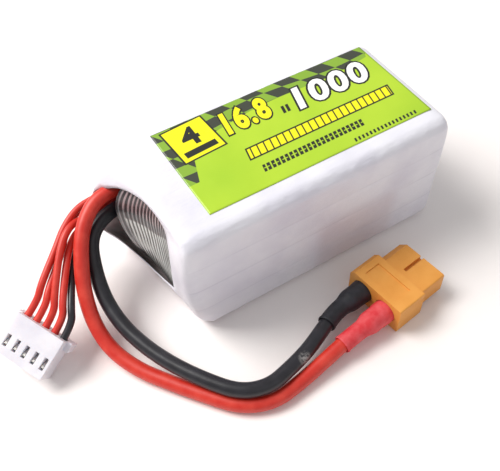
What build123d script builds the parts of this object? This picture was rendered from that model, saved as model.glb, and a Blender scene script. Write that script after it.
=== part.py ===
from build123d import *
from math import cos, radians, sin, tan
import os

# Four-cell lithium polymer battery pack with its power lead and balance lead.
# Units are millimetres. +X runs along the pack, away from the leads; +Z is up.
# The origin is on the floor, below the middle of the shrink sleeve.

# ---- driving dimensions: sleeve --------------------------------------------
PACK_WIDTH = 36.0            # sleeve, across Y
PACK_HEIGHT = 32.6           # sleeve, floor to top face
SLEEVE_HALF_LENGTH = 38.3    # origin to the closed end, and to the mouth's tip
SLEEVE_WALL = 0.5
LONG_EDGE_RADIUS = 2.8
CLOSED_END_RADIUS = 2.2
SHOULDER_X = -29.8           # where the straight sleeve ends and the mouth begins
MOUTH_WIDTH = 27.0
MOUTH_HEIGHT = 23.0
MOUTH_CENTRE_Y = 4.2
MOUTH_CENTRE_Z = 16.6
MOUTH_CORNER_RADIUS = 8.0
MOUTH_TURN = 16.0            # degrees that the mouth's far side reaches out
MOUTH_OVERRUN = 0.05         # room cut past the mouth's edge, to open it cleanly

# ---- label ------------------------------------------------------------------
LABEL_LENGTH = 58.7
LABEL_WIDTH = 27.5
LABEL_THICKNESS = 0.15
LABEL_CENTRE_X = 7.1
LABEL_CENTRE_Y = 1.45

# ---- cells and what lies around them -----------------------------------------
CELL_COUNT = 4
CELL_LENGTH = 57.5
CELL_WIDTH = 34.0
CELL_EDGE_RADIUS = 1.2
CELL_PAD_THICKNESS = 0.4
CELL_PAD_LENGTH = 50.0
CELL_PAD_WIDTH = 28.0
GUARD_THICKNESS = 0.5
GUARD_WIDTH = 32.0
END_PAD_THICKNESS = 1.1
END_PAD_MARGIN = 2.0
STACK_CLEARANCE = 0.1        # lengthwise slack between the end pad and the sleeve

SEAL_LENGTH = 3.0            # flat sealed edge of a pouch, at its tabs
SEAL_THICKNESS = 0.4
SEAL_WIDTH = 28.0
TAB_WIDTH = 5.0
TAB_THICKNESS = 0.3
TAB_OFFSET_Y = 7.0
TAB_STAND_OUT = 1.0          # tab beyond the balance board's outer face
TAB_FILM_LENGTH = 0.6
TAB_FILM_MARGIN = 0.8
TAB_FILM_THICKNESS = 0.5

BOARD_THICKNESS = 1.0
BOARD_GAP = 1.0              # from a pouch's sealed edge to the board
BOARD_WIDTH = 34.0
BOARD_HEIGHT = 27.0
BOARD_SLOT_CLEARANCE = 0.15
SOLDER_MARGIN = 0.7
SOLDER_HEIGHT = 0.8

TAPE_THICKNESS = 0.3
TAPE_WIDTH = 21.5
TAPE_CENTRE_Y = -3.25
TAPE_REACH_X = 20.0          # where the tape ends on the top and the bottom
TAPE_CORNER_RADIUS = 2.5
INSULATOR_THICKNESS = 1.2
INSULATOR_WIDTH = 18.0
INSULATOR_HEIGHT = 26.0
TAPE_TO_SHOULDER = 0.6       # tape's front behind the sleeve's shoulder

# ---- power lead and its two-pole connector ------------------------------------
LEAD_DIAMETER = 3.5
POWER_POSITION = (7.1, -33.9, 0.0)   # middle of the housing's rear face, on the floor
POWER_TURN = 8.0
POLE_PITCH = 7.2
COLLAR_LENGTH = 8.0
COLLAR_WIDTH = 15.9
COLLAR_HEIGHT = 8.1
NOSE_LENGTH = 8.0
NOSE_WIDTH = 13.8
NOSE_HEIGHT = 6.0
NOSE_CHAMFER = 2.0
COLLAR_CHAMFER = 1.3
HOUSING_EDGE_RADIUS = 0.4
SOCKET_BORE = 3.5
SOCKET_DEPTH = 10.0
CONTACT_DIAMETER = 4.5
CONTACT_SETBACK = 0.5        # socket mouth below the nose's front
CUP_STAND_OUT = 5.0
CUP_DEPTH = 4.5
CONDUCTOR_CLEARANCE = 0.05
CONDUCTOR_SETBACK = 0.4      # bare end inside the cup's rim
CONTACT_CLEARANCE = 0.05
WELL_DEPTH = 3.0
NOSE_SLOT_WIDTH = 0.9
NOSE_SLOT_LENGTH = 6.0
NOSE_SLOT_DEPTH = 1.0
PANEL_LENGTH = 4.4
PANEL_WIDTH = 10.0
PANEL_DEPTH = 0.3

SHRINK_WALL = 0.6
SHRINK_CLEARANCE = 0.05
SHRINK_SEATED = 2.0          # length inside the housing's well
SHRINK_STEP = 0.9            # wide part of the tube beyond the solder cup

# ---- balance lead and its five-way housing -------------------------------------
BALANCE_WIRE_DIAMETER = 1.7
BALANCE_WAYS = 5
BALANCE_PITCH = 2.5
BALANCE_LENGTH = 9.8
BALANCE_SIDE_WALL = 1.2
BALANCE_THICKNESS = 5.75
BALANCE_AXIS_HEIGHT = 2.9
BALANCE_POSITION = (-59.66, -1.32, 6.16)
BALANCE_TURN = 201.05
BALANCE_DIP = 28.45
BALANCE_ROLL = -14.82
CAVITY_SIZE = 1.9
CAVITY_FRONT_WALL = 1.0
TERMINAL_SIZE = 1.5
TERMINAL_SHEET = 0.25
TERMINAL_LENGTH = 6.8
TERMINAL_SETBACK = 1.6
PIN_HOLE_SIZE = 0.8
WINDOW_LENGTH = 2.8
WINDOW_WIDTH = 1.2
WINDOW_START = 3.4
EAR_WIDTH = 1.2
EAR_LENGTH = 2.2
EAR_THICKNESS = 3.4

# ---- cord routes: corner points of straight runs, joined by tangent arcs --------
ARC_SHARE = 0.45             # of the shorter run beside a corner
POSITIVE_ROUTE = [
    (-26.0, 13.1, 23.6), (-31.8, 13.1, 23.6), (-38.6, 12.8, 23.6), (-44.0, 9.4, 20.8),
    (-47.2, 4.8, 17.0), (-49.8, -0.2, 12.2), (-51.1, -5.9, 7.4), (-50.4, -12.4, 3.6),
    (-47.2, -19.4, 2.0), (-42.4, -26.2, 1.8), (-37.4, -32.8, 1.8), (-32.2, -39.2, 1.8),
    (-25.4, -42.1, 1.8), (-18.0, -41.2, 1.9), (-11.0, -40.1, 2.7), (-5.0, -39.1, 3.6),
    (-0.6, -38.65, 4.05), (2.65, -38.2, 4.05),
]
NEGATIVE_ROUTE = [
    (-26.0, 12.8, 17.8), (-31.8, 12.8, 17.8), (-38.2, 12.0, 18.0), (-43.4, 8.8, 16.2),
    (-45.5, 3.0, 12.5), (-46.5, -3.3, 9.2), (-45.9, -10.0, 7.0), (-43.8, -17.1, 5.8),
    (-40.5, -24.2, 5.1), (-36.2, -31.2, 4.9), (-31.4, -37.5, 4.9), (-25.2, -39.7, 4.7),
    (-19.0, -38.3, 4.4), (-13.6, -36.7, 4.2), (-9.2, -34.8, 4.1), (-5.2, -32.9, 4.05),
    (-1.5, -31.5, 4.05), (1.65, -31.0, 4.05),
]
BALANCE_ROUTES = [
    [(-26.0, 15.7, 22.4), (-32.4, 15.7, 22.2), (-38.0, 15.5, 21.0), (-42.7, 15.4, 20.5),
     (-47.9, 13.4, 19.3), (-52.1, 10.2, 17.0), (-58.2, 5.0, 13.9), (-60.0, 2.9, 11.5),
     (-64.2, 1.3, 9.0)],
    [(-26.0, 15.7, 20.4), (-32.4, 15.7, 20.2), (-38.0, 15.6, 19.0), (-43.2, 16.4, 18.4),
     (-47.9, 14.0, 17.2), (-51.2, 9.9, 14.8), (-57.2, 3.2, 13.0), (-58.8, 0.8, 10.9),
     (-63.0, -0.8, 8.5)],
    [(-26.0, 15.7, 18.4), (-32.4, 15.6, 18.2), (-37.6, 14.9, 17.0), (-42.3, 13.8, 18.0),
     (-46.8, 11.9, 19.3), (-51.2, 8.7, 18.0), (-56.1, 1.0, 13.1), (-57.7, -1.4, 10.3),
     (-61.9, -3.0, 7.9)],
    [(-26.0, 15.7, 16.4), (-32.4, 15.7, 16.1), (-37.6, 15.2, 15.0), (-42.4, 13.6, 15.8),
     (-46.0, 11.2, 17.2), (-49.7, 7.8, 16.6), (-55.1, -0.8, 12.2), (-56.5, -3.5, 9.8),
     (-60.7, -5.1, 7.3)],
    [(-26.0, 15.7, 14.4), (-32.4, 15.7, 14.1), (-38.0, 15.7, 13.0), (-43.0, 15.2, 14.2),
     (-46.8, 12.1, 14.9), (-49.4, 7.4, 13.8), (-53.9, -2.6, 11.6), (-55.3, -5.5, 9.3),
     (-59.6, -7.3, 6.8)],
]

# ---- places that follow from the sizes above -----------------------------------
INSIDE_TOP = PACK_HEIGHT - SLEEVE_WALL
INSIDE_END = SLEEVE_HALF_LENGTH - SLEEVE_WALL
STACK_BOTTOM = SLEEVE_WALL + TAPE_THICKNESS + GUARD_THICKNESS
STACK_TOP = INSIDE_TOP - TAPE_THICKNESS - GUARD_THICKNESS
PAD_TOTAL = (CELL_COUNT - 1) * CELL_PAD_THICKNESS
CELL_THICKNESS = (STACK_TOP - STACK_BOTTOM - PAD_TOTAL) / CELL_COUNT
CELL_REAR = INSIDE_END - STACK_CLEARANCE - END_PAD_THICKNESS
CELL_FRONT = CELL_REAR - CELL_LENGTH
SEAL_FRONT = CELL_FRONT - SEAL_LENGTH
BOARD_INNER = SEAL_FRONT - BOARD_GAP
BOARD_OUTER = BOARD_INNER - BOARD_THICKNESS
STACK_MIDDLE = (STACK_BOTTOM + STACK_TOP) / 2
TAPE_FRONT = SHOULDER_X + TAPE_TO_SHOULDER
LEAD_RADIUS = LEAD_DIAMETER / 2
CONTACT_RADIUS = CONTACT_DIAMETER / 2
SHRINK_INNER = CONTACT_RADIUS + SHRINK_CLEARANCE
SHRINK_OUTER = SHRINK_INNER + SHRINK_WALL
WELL_RADIUS = SHRINK_OUTER + SHRINK_CLEARANCE
BALANCE_WIDTH = (BALANCE_WAYS - 1) * BALANCE_PITCH + 2 * BALANCE_SIDE_WALL

POWER_FRAME = Pos(*POWER_POSITION) * Rot(0, 0, POWER_TURN)
POLE_HEIGHT = COLLAR_HEIGHT / 2
BALANCE_FRAME = (Pos(*BALANCE_POSITION) * Rot(0, 0, BALANCE_TURN)
                 * Rot(0, BALANCE_DIP, 0) * Rot(BALANCE_ROLL, 0, 0))


# ---- small helpers ----------------------------------------------------------------
def block(x_range, y_range, z_range):
    """A box between two corners, given as three (low, high) pairs."""
    sizes = [high - low for low, high in (x_range, y_range, z_range)]
    corner = (x_range[0], y_range[0], z_range[0])
    return Pos(*corner) * Box(*sizes, align=(Align.MIN, Align.MIN, Align.MIN))


def rod(radius, start, end, y, z):
    """A round bar along X."""
    place = Pos(start, y, z) * Rot(0, 90, 0)
    return place * Cylinder(radius, end - start, align=(Align.CENTER, Align.CENTER, Align.MIN))


def corner_radii(points):
    """The largest arc that each corner's two runs allow."""
    radii = []
    for before, corner, after in zip(points, points[1:], points[2:]):
        run_in = Vector(*corner) - Vector(*before)
        run_out = Vector(*after) - Vector(*corner)
        half_turn = radians(run_in.get_angle(run_out)) / 2
        radii.append(ARC_SHARE * min(run_in.length, run_out.length) / tan(half_turn))
    return radii


def cord_tube(points, diameter):
    """A round cord along its route, square cut at both ends."""
    path = FilletPolyline(*points, radius=corner_radii(points))
    start = Plane(origin=path @ 0, z_dir=path % 0)
    return sweep(start * Circle(diameter / 2), path=path)


def report_cord(name, points, diameter, solid):
    """Print a cord's length, tightest arc and how its volume compares."""
    path = FilletPolyline(*points, radius=corner_radii(points))
    section = Circle(diameter / 2).area
    ratio = solid.volume / (section * path.length)
    radii = ", ".join(f"{radius:.1f}" for radius in corner_radii(points))
    print(f"{name}: length {path.length:.1f}, volume ratio {ratio:.4f}, radii {radii}")


# ---- sleeve and label ---------------------------------------------------------------
def sleeve_form(inset):
    """The sleeve's outer form, or with an inset the room inside it."""
    width = PACK_WIDTH - 2 * inset
    height = PACK_HEIGHT - 2 * inset
    end = SLEEVE_HALF_LENGTH - inset
    section = RectangleRounded(width, height, LONG_EDGE_RADIUS - inset)
    shoulder = SHOULDER_X + inset
    section_place = Plane(origin=(shoulder, 0, PACK_HEIGHT / 2), x_dir=(0, 1, 0), z_dir=(1, 0, 0))
    straight = extrude(section_place * section, end - shoulder)
    closed_end = straight.faces().sort_by(Axis.X)[-1]
    straight = fillet(closed_end.edges(), CLOSED_END_RADIUS - inset)
    turn = radians(MOUTH_TURN)
    overrun = MOUTH_OVERRUN if inset else 0
    mouth_x = sin(turn) * MOUTH_WIDTH / 2 - SLEEVE_HALF_LENGTH - overrun
    mouth_place = Plane(
        origin=(mouth_x, MOUTH_CENTRE_Y, MOUTH_CENTRE_Z),
        x_dir=(-sin(turn), cos(turn), 0),
        z_dir=(cos(turn), sin(turn), 0),
    )
    mouth = RectangleRounded(
        MOUTH_WIDTH - 2 * inset, MOUTH_HEIGHT - 2 * inset, MOUTH_CORNER_RADIUS - inset)
    funnel = loft([section_place * section, mouth_place * mouth])
    return straight + funnel


def shrink_sleeve():
    return sleeve_form(0) - sleeve_form(SLEEVE_WALL)


def label():
    half_length = LABEL_LENGTH / 2
    half_width = LABEL_WIDTH / 2
    return block(
        (LABEL_CENTRE_X - half_length, LABEL_CENTRE_X + half_length),
        (LABEL_CENTRE_Y - half_width, LABEL_CENTRE_Y + half_width),
        (PACK_HEIGHT, PACK_HEIGHT + LABEL_THICKNESS),
    )


# ---- cells, tabs and board -------------------------------------------------------------
def cell_middle(index):
    """Height of a cell's middle plane."""
    return STACK_BOTTOM + CELL_THICKNESS / 2 + index * (CELL_THICKNESS + CELL_PAD_THICKNESS)


def pouch_cell(index):
    half = CELL_THICKNESS / 2
    middle = cell_middle(index)
    body = block((CELL_FRONT, CELL_REAR), (-CELL_WIDTH / 2, CELL_WIDTH / 2), (middle - half, middle + half))
    body = fillet(body.edges().filter_by(Axis.X), CELL_EDGE_RADIUS)
    seal = block(
        (SEAL_FRONT, CELL_FRONT),
        (-SEAL_WIDTH / 2, SEAL_WIDTH / 2),
        (middle - SEAL_THICKNESS / 2, middle + SEAL_THICKNESS / 2),
    )
    return body + seal


def tab_y(index, positive):
    """Side of a tab: neighbouring cells face opposite ways, to join in series."""
    upright = index % 2 == 0
    return TAB_OFFSET_Y if upright == positive else -TAB_OFFSET_Y


def tab(index, positive, margin=0.0, front=BOARD_OUTER - TAB_STAND_OUT, thickness=TAB_THICKNESS):
    y = tab_y(index, positive)
    half = TAB_WIDTH / 2 + margin
    middle = cell_middle(index)
    return block((front, SEAL_FRONT), (y - half, y + half), (middle - thickness / 2, middle + thickness / 2))


def tabs(positive):
    return [tab(index, positive) for index in range(CELL_COUNT)]


def tab_films():
    """Sealing film around each tab where it leaves the pouch."""
    films = []
    for index in range(CELL_COUNT):
        for positive in (True, False):
            film = tab(index, positive, TAB_FILM_MARGIN, SEAL_FRONT - TAB_FILM_LENGTH, TAB_FILM_THICKNESS)
            films.append(film - tab(index, positive))
    return films


def cell_pads():
    """Adhesive pads between the cells."""
    pads = []
    for index in range(CELL_COUNT - 1):
        low = cell_middle(index) + CELL_THICKNESS / 2
        middle_x = (CELL_FRONT + CELL_REAR) / 2
        pads.append(block(
            (middle_x - CELL_PAD_LENGTH / 2, middle_x + CELL_PAD_LENGTH / 2),
            (-CELL_PAD_WIDTH / 2, CELL_PAD_WIDTH / 2),
            (low, low + CELL_PAD_THICKNESS),
        ))
    return pads


def balance_board():
    board = block(
        (BOARD_OUTER, BOARD_INNER),
        (-BOARD_WIDTH / 2, BOARD_WIDTH / 2),
        (STACK_MIDDLE - BOARD_HEIGHT / 2, STACK_MIDDLE + BOARD_HEIGHT / 2),
    )
    for index in range(CELL_COUNT):
        for positive in (True, False):
            board -= tab(
                index, positive, BOARD_SLOT_CLEARANCE,
                thickness=TAB_THICKNESS + 2 * BOARD_SLOT_CLEARANCE)
    return board


def solder_joints():
    """Solder bars around the tab ends, on the board's outer face."""
    bars = []
    for index in range(CELL_COUNT):
        for positive in (True, False):
            half = TAB_WIDTH / 2 + SOLDER_MARGIN
            y = tab_y(index, positive)
            middle = cell_middle(index)
            bar = block(
                (BOARD_OUTER - SOLDER_HEIGHT, BOARD_OUTER),
                (y - half, y + half),
                (middle - SOLDER_MARGIN, middle + SOLDER_MARGIN),
            )
            bars.append(bar - tab(index, positive))
    return bars


def guard_sheet(low):
    return block((CELL_FRONT, CELL_REAR), (-GUARD_WIDTH / 2, GUARD_WIDTH / 2), (low, low + GUARD_THICKNESS))


def end_pad():
    half_width = CELL_WIDTH / 2 - END_PAD_MARGIN
    return block(
        (CELL_REAR, CELL_REAR + END_PAD_THICKNESS),
        (-half_width, half_width),
        (STACK_BOTTOM + END_PAD_MARGIN, STACK_TOP - END_PAD_MARGIN),
    )


def front_insulator():
    inner = TAPE_FRONT + TAPE_THICKNESS
    return block(
        (inner, inner + INSULATOR_THICKNESS),
        (TAPE_CENTRE_Y - INSULATOR_WIDTH / 2, TAPE_CENTRE_Y + INSULATOR_WIDTH / 2),
        (STACK_MIDDLE - INSULATOR_HEIGHT / 2, STACK_MIDDLE + INSULATOR_HEIGHT / 2),
    )


def tape_form(inset):
    """The tape's outer form, or with an inset the room inside its wrap."""
    form = block(
        (TAPE_FRONT + inset, TAPE_REACH_X + inset),
        (TAPE_CENTRE_Y - TAPE_WIDTH / 2, TAPE_CENTRE_Y + TAPE_WIDTH / 2),
        (SLEEVE_WALL + inset, INSIDE_TOP - inset),
    )
    front_edges = form.edges().filter_by(Axis.Y).group_by(Axis.X)[0]
    return fillet(front_edges, TAPE_CORNER_RADIUS - inset)


def filament_tape():
    return tape_form(0) - tape_form(TAPE_THICKNESS)


# ---- power connector ---------------------------------------------------------------------
def pole_y(positive):
    return -POLE_PITCH / 2 if positive else POLE_PITCH / 2


def power_body(length_range, width, height, chamfer_size):
    """A housing section whose negative side has its two long edges cut off."""
    low = (COLLAR_HEIGHT - height) / 2
    body = block(length_range, (-width / 2, width / 2), (low, low + height))
    negative_edges = body.edges().filter_by(Axis.X).group_by(Axis.Y)[-1]
    positive_edges = body.edges().filter_by(Axis.X).group_by(Axis.Y)[0]
    body = chamfer(negative_edges, chamfer_size)
    positive_edges = body.edges().filter_by(Axis.X).group_by(Axis.Y)[0]
    return fillet(positive_edges, HOUSING_EDGE_RADIUS)


def power_housing():
    total = COLLAR_LENGTH + NOSE_LENGTH
    collar = power_body((0, COLLAR_LENGTH), COLLAR_WIDTH, COLLAR_HEIGHT, COLLAR_CHAMFER)
    nose = power_body((COLLAR_LENGTH, total), NOSE_WIDTH, NOSE_HEIGHT, NOSE_CHAMFER)
    housing = collar + nose
    for positive in (True, False):
        y = pole_y(positive)
        housing -= rod(CONTACT_RADIUS + CONTACT_CLEARANCE, 0, total, y, POLE_HEIGHT)
        housing -= rod(WELL_RADIUS, 0, WELL_DEPTH, y, POLE_HEIGHT)
    nose_top = (COLLAR_HEIGHT + NOSE_HEIGHT) / 2
    housing -= block(
        (total - NOSE_SLOT_LENGTH, total),
        (-NOSE_SLOT_WIDTH / 2, NOSE_SLOT_WIDTH / 2),
        (nose_top - NOSE_SLOT_DEPTH, nose_top),
    )
    panel_start = (COLLAR_LENGTH - PANEL_LENGTH) / 2
    housing -= block(
        (panel_start, panel_start + PANEL_LENGTH),
        (-PANEL_WIDTH / 2, PANEL_WIDTH / 2),
        (COLLAR_HEIGHT - PANEL_DEPTH, COLLAR_HEIGHT),
    )
    return POWER_FRAME * housing


def power_contact(positive):
    """Socket at the nose, solder cup at the rear, one turned piece."""
    y = pole_y(positive)
    front = COLLAR_LENGTH + NOSE_LENGTH - CONTACT_SETBACK
    contact = rod(CONTACT_RADIUS, -CUP_STAND_OUT, front, y, POLE_HEIGHT)
    contact -= rod(SOCKET_BORE / 2, front - SOCKET_DEPTH, front, y, POLE_HEIGHT)
    contact -= rod(LEAD_RADIUS, -CUP_STAND_OUT, CUP_DEPTH - CUP_STAND_OUT, y, POLE_HEIGHT)
    return POWER_FRAME * contact


def conductor_ends():
    """The stripped, tinned ends of both leads in their solder cups."""
    ends = []
    for positive in (True, False):
        radius = LEAD_RADIUS - CONDUCTOR_CLEARANCE
        start = CONDUCTOR_SETBACK - CUP_STAND_OUT
        end = rod(radius, start, CUP_DEPTH - CUP_STAND_OUT, pole_y(positive), POLE_HEIGHT)
        ends.append(POWER_FRAME * end)
    return ends


def lead_shrink(positive, route, cut_point):
    """Heat-shrink tube over a solder cup and the first stretch of its lead."""
    y = pole_y(positive)
    barrel_start = -CUP_STAND_OUT - SHRINK_STEP
    barrel = POWER_FRAME * rod(SHRINK_OUTER, barrel_start, SHRINK_SEATED, y, POLE_HEIGHT)
    room = POWER_FRAME * rod(SHRINK_INNER, -CUP_STAND_OUT, SHRINK_SEATED, y, POLE_HEIGHT)
    cut_x, cut_y, cut_turn = cut_point
    cup_end = POWER_FRAME * Pos(-CUP_STAND_OUT, y, POLE_HEIGHT)
    reach = (Vector(*cup_end.position) - Vector(cut_x, cut_y, POLE_HEIGHT)).length
    window = Pos(cut_x, cut_y, POLE_HEIGHT) * Rot(0, 0, cut_turn) * Box(
        reach, 4 * SHRINK_OUTER, 4 * SHRINK_OUTER, align=(Align.MIN, Align.CENTER, Align.CENTER))
    lead_room = cord_tube(route, LEAD_DIAMETER + 2 * SHRINK_CLEARANCE)
    sleeve = cord_tube(route, LEAD_DIAMETER + 2 * SHRINK_CLEARANCE + 2 * SHRINK_WALL) & window
    return (barrel + sleeve) - lead_room - room


# ---- balance connector ----------------------------------------------------------------------
def way_y(way):
    """Place of a way across the housing: the first one is farthest from the pack's front."""
    return (way - (BALANCE_WAYS - 1) / 2) * BALANCE_PITCH


def balance_housing():
    half = BALANCE_WIDTH / 2
    housing = block((0, BALANCE_LENGTH), (-half, half), (0, BALANCE_THICKNESS))
    for side in (-1, 1):
        ear_range = sorted((side * half, side * (half + EAR_WIDTH)))
        housing += block((0, EAR_LENGTH), ear_range, (0, EAR_THICKNESS))
    low = BALANCE_AXIS_HEIGHT - CAVITY_SIZE / 2
    for way in range(BALANCE_WAYS):
        y = way_y(way)
        housing -= block(
            (0, BALANCE_LENGTH - CAVITY_FRONT_WALL),
            (y - CAVITY_SIZE / 2, y + CAVITY_SIZE / 2),
            (low, low + CAVITY_SIZE),
        )
        housing -= block(
            (0, BALANCE_LENGTH),
            (y - PIN_HOLE_SIZE / 2, y + PIN_HOLE_SIZE / 2),
            (BALANCE_AXIS_HEIGHT - PIN_HOLE_SIZE / 2, BALANCE_AXIS_HEIGHT + PIN_HOLE_SIZE / 2),
        )
        housing -= block(
            (WINDOW_START, WINDOW_START + WINDOW_LENGTH),
            (y - WINDOW_WIDTH / 2, y + WINDOW_WIDTH / 2),
            (BALANCE_AXIS_HEIGHT, BALANCE_THICKNESS),
        )
    return BALANCE_FRAME * housing


def balance_terminals():
    """Folded sheet terminals, one in each cavity, standing on its floor."""
    terminals = []
    low = BALANCE_AXIS_HEIGHT - CAVITY_SIZE / 2
    for way in range(BALANCE_WAYS):
        y = way_y(way)
        start = TERMINAL_SETBACK
        half = TERMINAL_SIZE / 2
        outer = block((start, start + TERMINAL_LENGTH), (y - half, y + half), (low, low + TERMINAL_SIZE))
        inner = block(
            (start + TERMINAL_SHEET, start + TERMINAL_LENGTH),
            (y - half + TERMINAL_SHEET, y + half - TERMINAL_SHEET),
            (low + TERMINAL_SHEET, low + TERMINAL_SIZE),
        )
        terminals.append(BALANCE_FRAME * (outer - inner))
    return terminals


# ---- the whole pack ----------------------------------------------------------------------------
def solids_of(shape):
    """Every solid of a shape or of a list of shapes."""
    shapes = shape if isinstance(shape, list) else [shape]
    return [solid for item in shapes for solid in item.solids()]


def write(name, shape):
    """Write one named node, as a single solid or as a group."""
    solids = solids_of(shape)
    node = solids[0] if len(solids) == 1 else Compound(children=solids)
    export_step(node, f"parts/{name}.step")


def build():
    os.makedirs("parts", exist_ok=True)
    write("shrink_sleeve", shrink_sleeve())
    write("label", label())
    for index in range(CELL_COUNT):
        write(f"pouch_cell_{index + 1}", pouch_cell(index))
    write("cell_pads", cell_pads())
    write("positive_tabs", tabs(True))
    write("negative_tabs", tabs(False))
    write("tab_films", tab_films())
    write("balance_board", balance_board())
    write("solder_joints", solder_joints())
    write("lower_guard", guard_sheet(STACK_BOTTOM - GUARD_THICKNESS))
    write("upper_guard", guard_sheet(STACK_TOP))
    write("end_pad", end_pad())
    write("front_insulator", front_insulator())
    write("filament_tape", filament_tape())
    write("power_housing", power_housing())
    write("positive_contact", power_contact(True))
    write("negative_contact", power_contact(False))
    write("conductor_ends", conductor_ends())
    write("positive_shrink", lead_shrink(True, POSITIVE_ROUTE, (-6.0, -39.2, -3.0)))
    write("negative_shrink", lead_shrink(False, NEGATIVE_ROUTE, (-6.6, -33.6, 22.0)))
    write("balance_housing", balance_housing())
    write("balance_terminals", balance_terminals())
    leads = {"positive_lead": POSITIVE_ROUTE, "negative_lead": NEGATIVE_ROUTE}
    for name, route in leads.items():
        solid = cord_tube(route, LEAD_DIAMETER)
        report_cord(name, route, LEAD_DIAMETER, solid)
        write(name, solid)
    for number, route in enumerate(BALANCE_ROUTES, start=1):
        solid = cord_tube(route, BALANCE_WIRE_DIAMETER)
        report_cord(f"balance_wire_{number}", route, BALANCE_WIRE_DIAMETER, solid)
        write(f"balance_wire_{number}", solid)


build()
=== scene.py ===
import logging
import math
from bisect import bisect_right
from collections.abc import Callable, Sequence
from dataclasses import dataclass, field
from enum import Enum
from itertools import product

import bmesh
import bpy
from mathutils import Matrix, Vector, noise


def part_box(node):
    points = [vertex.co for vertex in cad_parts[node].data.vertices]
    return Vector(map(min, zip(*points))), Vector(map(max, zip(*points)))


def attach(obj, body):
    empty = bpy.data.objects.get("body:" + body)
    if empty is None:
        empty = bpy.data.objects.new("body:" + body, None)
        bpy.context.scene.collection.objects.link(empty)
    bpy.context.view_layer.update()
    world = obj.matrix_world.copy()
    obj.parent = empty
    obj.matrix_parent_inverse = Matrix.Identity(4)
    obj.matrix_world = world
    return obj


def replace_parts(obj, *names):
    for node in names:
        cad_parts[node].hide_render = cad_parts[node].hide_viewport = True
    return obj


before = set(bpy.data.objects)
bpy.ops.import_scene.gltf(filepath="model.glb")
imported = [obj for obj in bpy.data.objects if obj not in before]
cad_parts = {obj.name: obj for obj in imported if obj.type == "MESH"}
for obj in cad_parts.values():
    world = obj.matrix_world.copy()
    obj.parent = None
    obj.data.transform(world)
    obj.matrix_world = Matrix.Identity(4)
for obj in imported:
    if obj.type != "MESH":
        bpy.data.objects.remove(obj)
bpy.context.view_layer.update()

# A four-cell lithium battery pack: shrink film, printed label, power lead and balance lead.
# The classes hold millimetres; meshes, curves and lights are made in metres, in the CAD frame.

log = logging.getLogger("battery_pack")

MM = 0.001
BODY = "root"
WELD = 1e-6                   # metres between points that are one point
FLAT = 0.01                   # radians between faces that are joined into one
SHARP = 0.5                   # radians between faces whose edge is softened
FINISHED = "_finish"          # ends the names of this file's materials, apart from the frame's own
Colour = tuple[float, float, float]
Point = tuple[float, float, float]
Span = tuple[float, float]
Block = tuple[Span, Span, Span]


def hue(code: str) -> Colour:
    """Gives a screen colour's linear red, green and blue.

    Args:
        code: six hexadecimal digits.

    Returns:
        The three linear shares.
    """
    parts = [int(code[i:i + 2], 16) / 255 for i in (0, 2, 4)]
    return tuple(p / 12.92 if p <= 0.04045 else ((p + 0.055) / 1.055) ** 2.4 for p in parts)


def blend(first: float, second: float, share: float) -> float:
    """Goes from first to second as share goes from 0 to 1."""
    return first + (second - first) * share


def clamped(value: float, low: float = 0.0, high: float = 1.0) -> float:
    """Keeps a value between low and high."""
    return min(max(value, low), high)


def hump(value: float, centre: float, width: float) -> float:
    """Gives a bell that is 1 at centre and fades over width."""
    return math.exp(-((value - centre) / width) ** 2)


# ---- node trees --------------------------------------------------------------


def joins(operation: str,
          turned: bool = False) -> Callable[["Signal", "Signal | float"], "Signal"]:
    """Makes a method that takes a signal and a value through one Math node.

    Args:
        operation: the node's operation.
        turned: whether the value goes in first.

    Returns:
        The method.
    """

    def method(signal: "Signal", value: "Signal | float") -> "Signal":
        """Gives the node's result."""
        return signal.sum(operation, *((value, signal) if turned else (signal, value)))

    return method


class Signal:
    """One output of a node, which sums can be written with as if it were a number."""

    def __init__(self, recipe: "Recipe", socket: bpy.types.NodeSocket) -> None:
        """Wraps a socket of the recipe's tree."""
        self.recipe = recipe
        self.socket = socket

    def sum(self, operation: str, *operands: "Signal | float") -> "Signal":
        """Adds a Math node.

        Args:
            operation: the Math node's operation.
            operands: its values, in order.

        Returns:
            The node's result.
        """
        return self.recipe.add("ShaderNodeMath", {"operation": operation},
                               dict(enumerate(operands)))

    def other(self, name: str) -> "Signal":
        """Gives another output of the same node."""
        return Signal(self.recipe, self.socket.node.outputs[name])

    __add__, __radd__ = joins("ADD"), joins("ADD", turned=True)
    __sub__, __rsub__ = joins("SUBTRACT"), joins("SUBTRACT", turned=True)
    __mul__, __rmul__ = joins("MULTIPLY"), joins("MULTIPLY", turned=True)
    __truediv__ = joins("DIVIDE")
    most = joins("MAXIMUM")               # the larger of the two

    def __abs__(self) -> "Signal":
        """Drops the sign."""
        return self.sum("ABSOLUTE", self)

    def rise(self, low: float, high: float) -> "Signal":
        """Gives 0 below low, 1 above high, and a straight climb between them."""
        return self.recipe.add("ShaderNodeMapRange", {"clamp": True},
                               {"Value": self, "From Min": low, "From Max": high})

    def within(self, low: "Signal | float", high: "Signal | float", edge: float = 0.06) -> "Signal":
        """Gives 1 between low and high and 0 outside, with a soft edge.

        Args:
            low: where the strip begins.
            high: where it ends.
            edge: half the width of its soft edges.

        Returns:
            The strip.
        """
        return (self - low).rise(-edge, edge) * (high - self).rise(-edge, edge)

    def cycle(self, pitch: float) -> "Signal":
        """Gives the place inside each pitch, from 0 to 1."""
        return self.sum("FRACT", self / pitch)

    def floor(self) -> "Signal":
        """Rounds down."""
        return self.sum("FLOOR", self)

    def wave(self) -> "Signal":
        """Takes the sine."""
        return self.sum("SINE", self)


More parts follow.
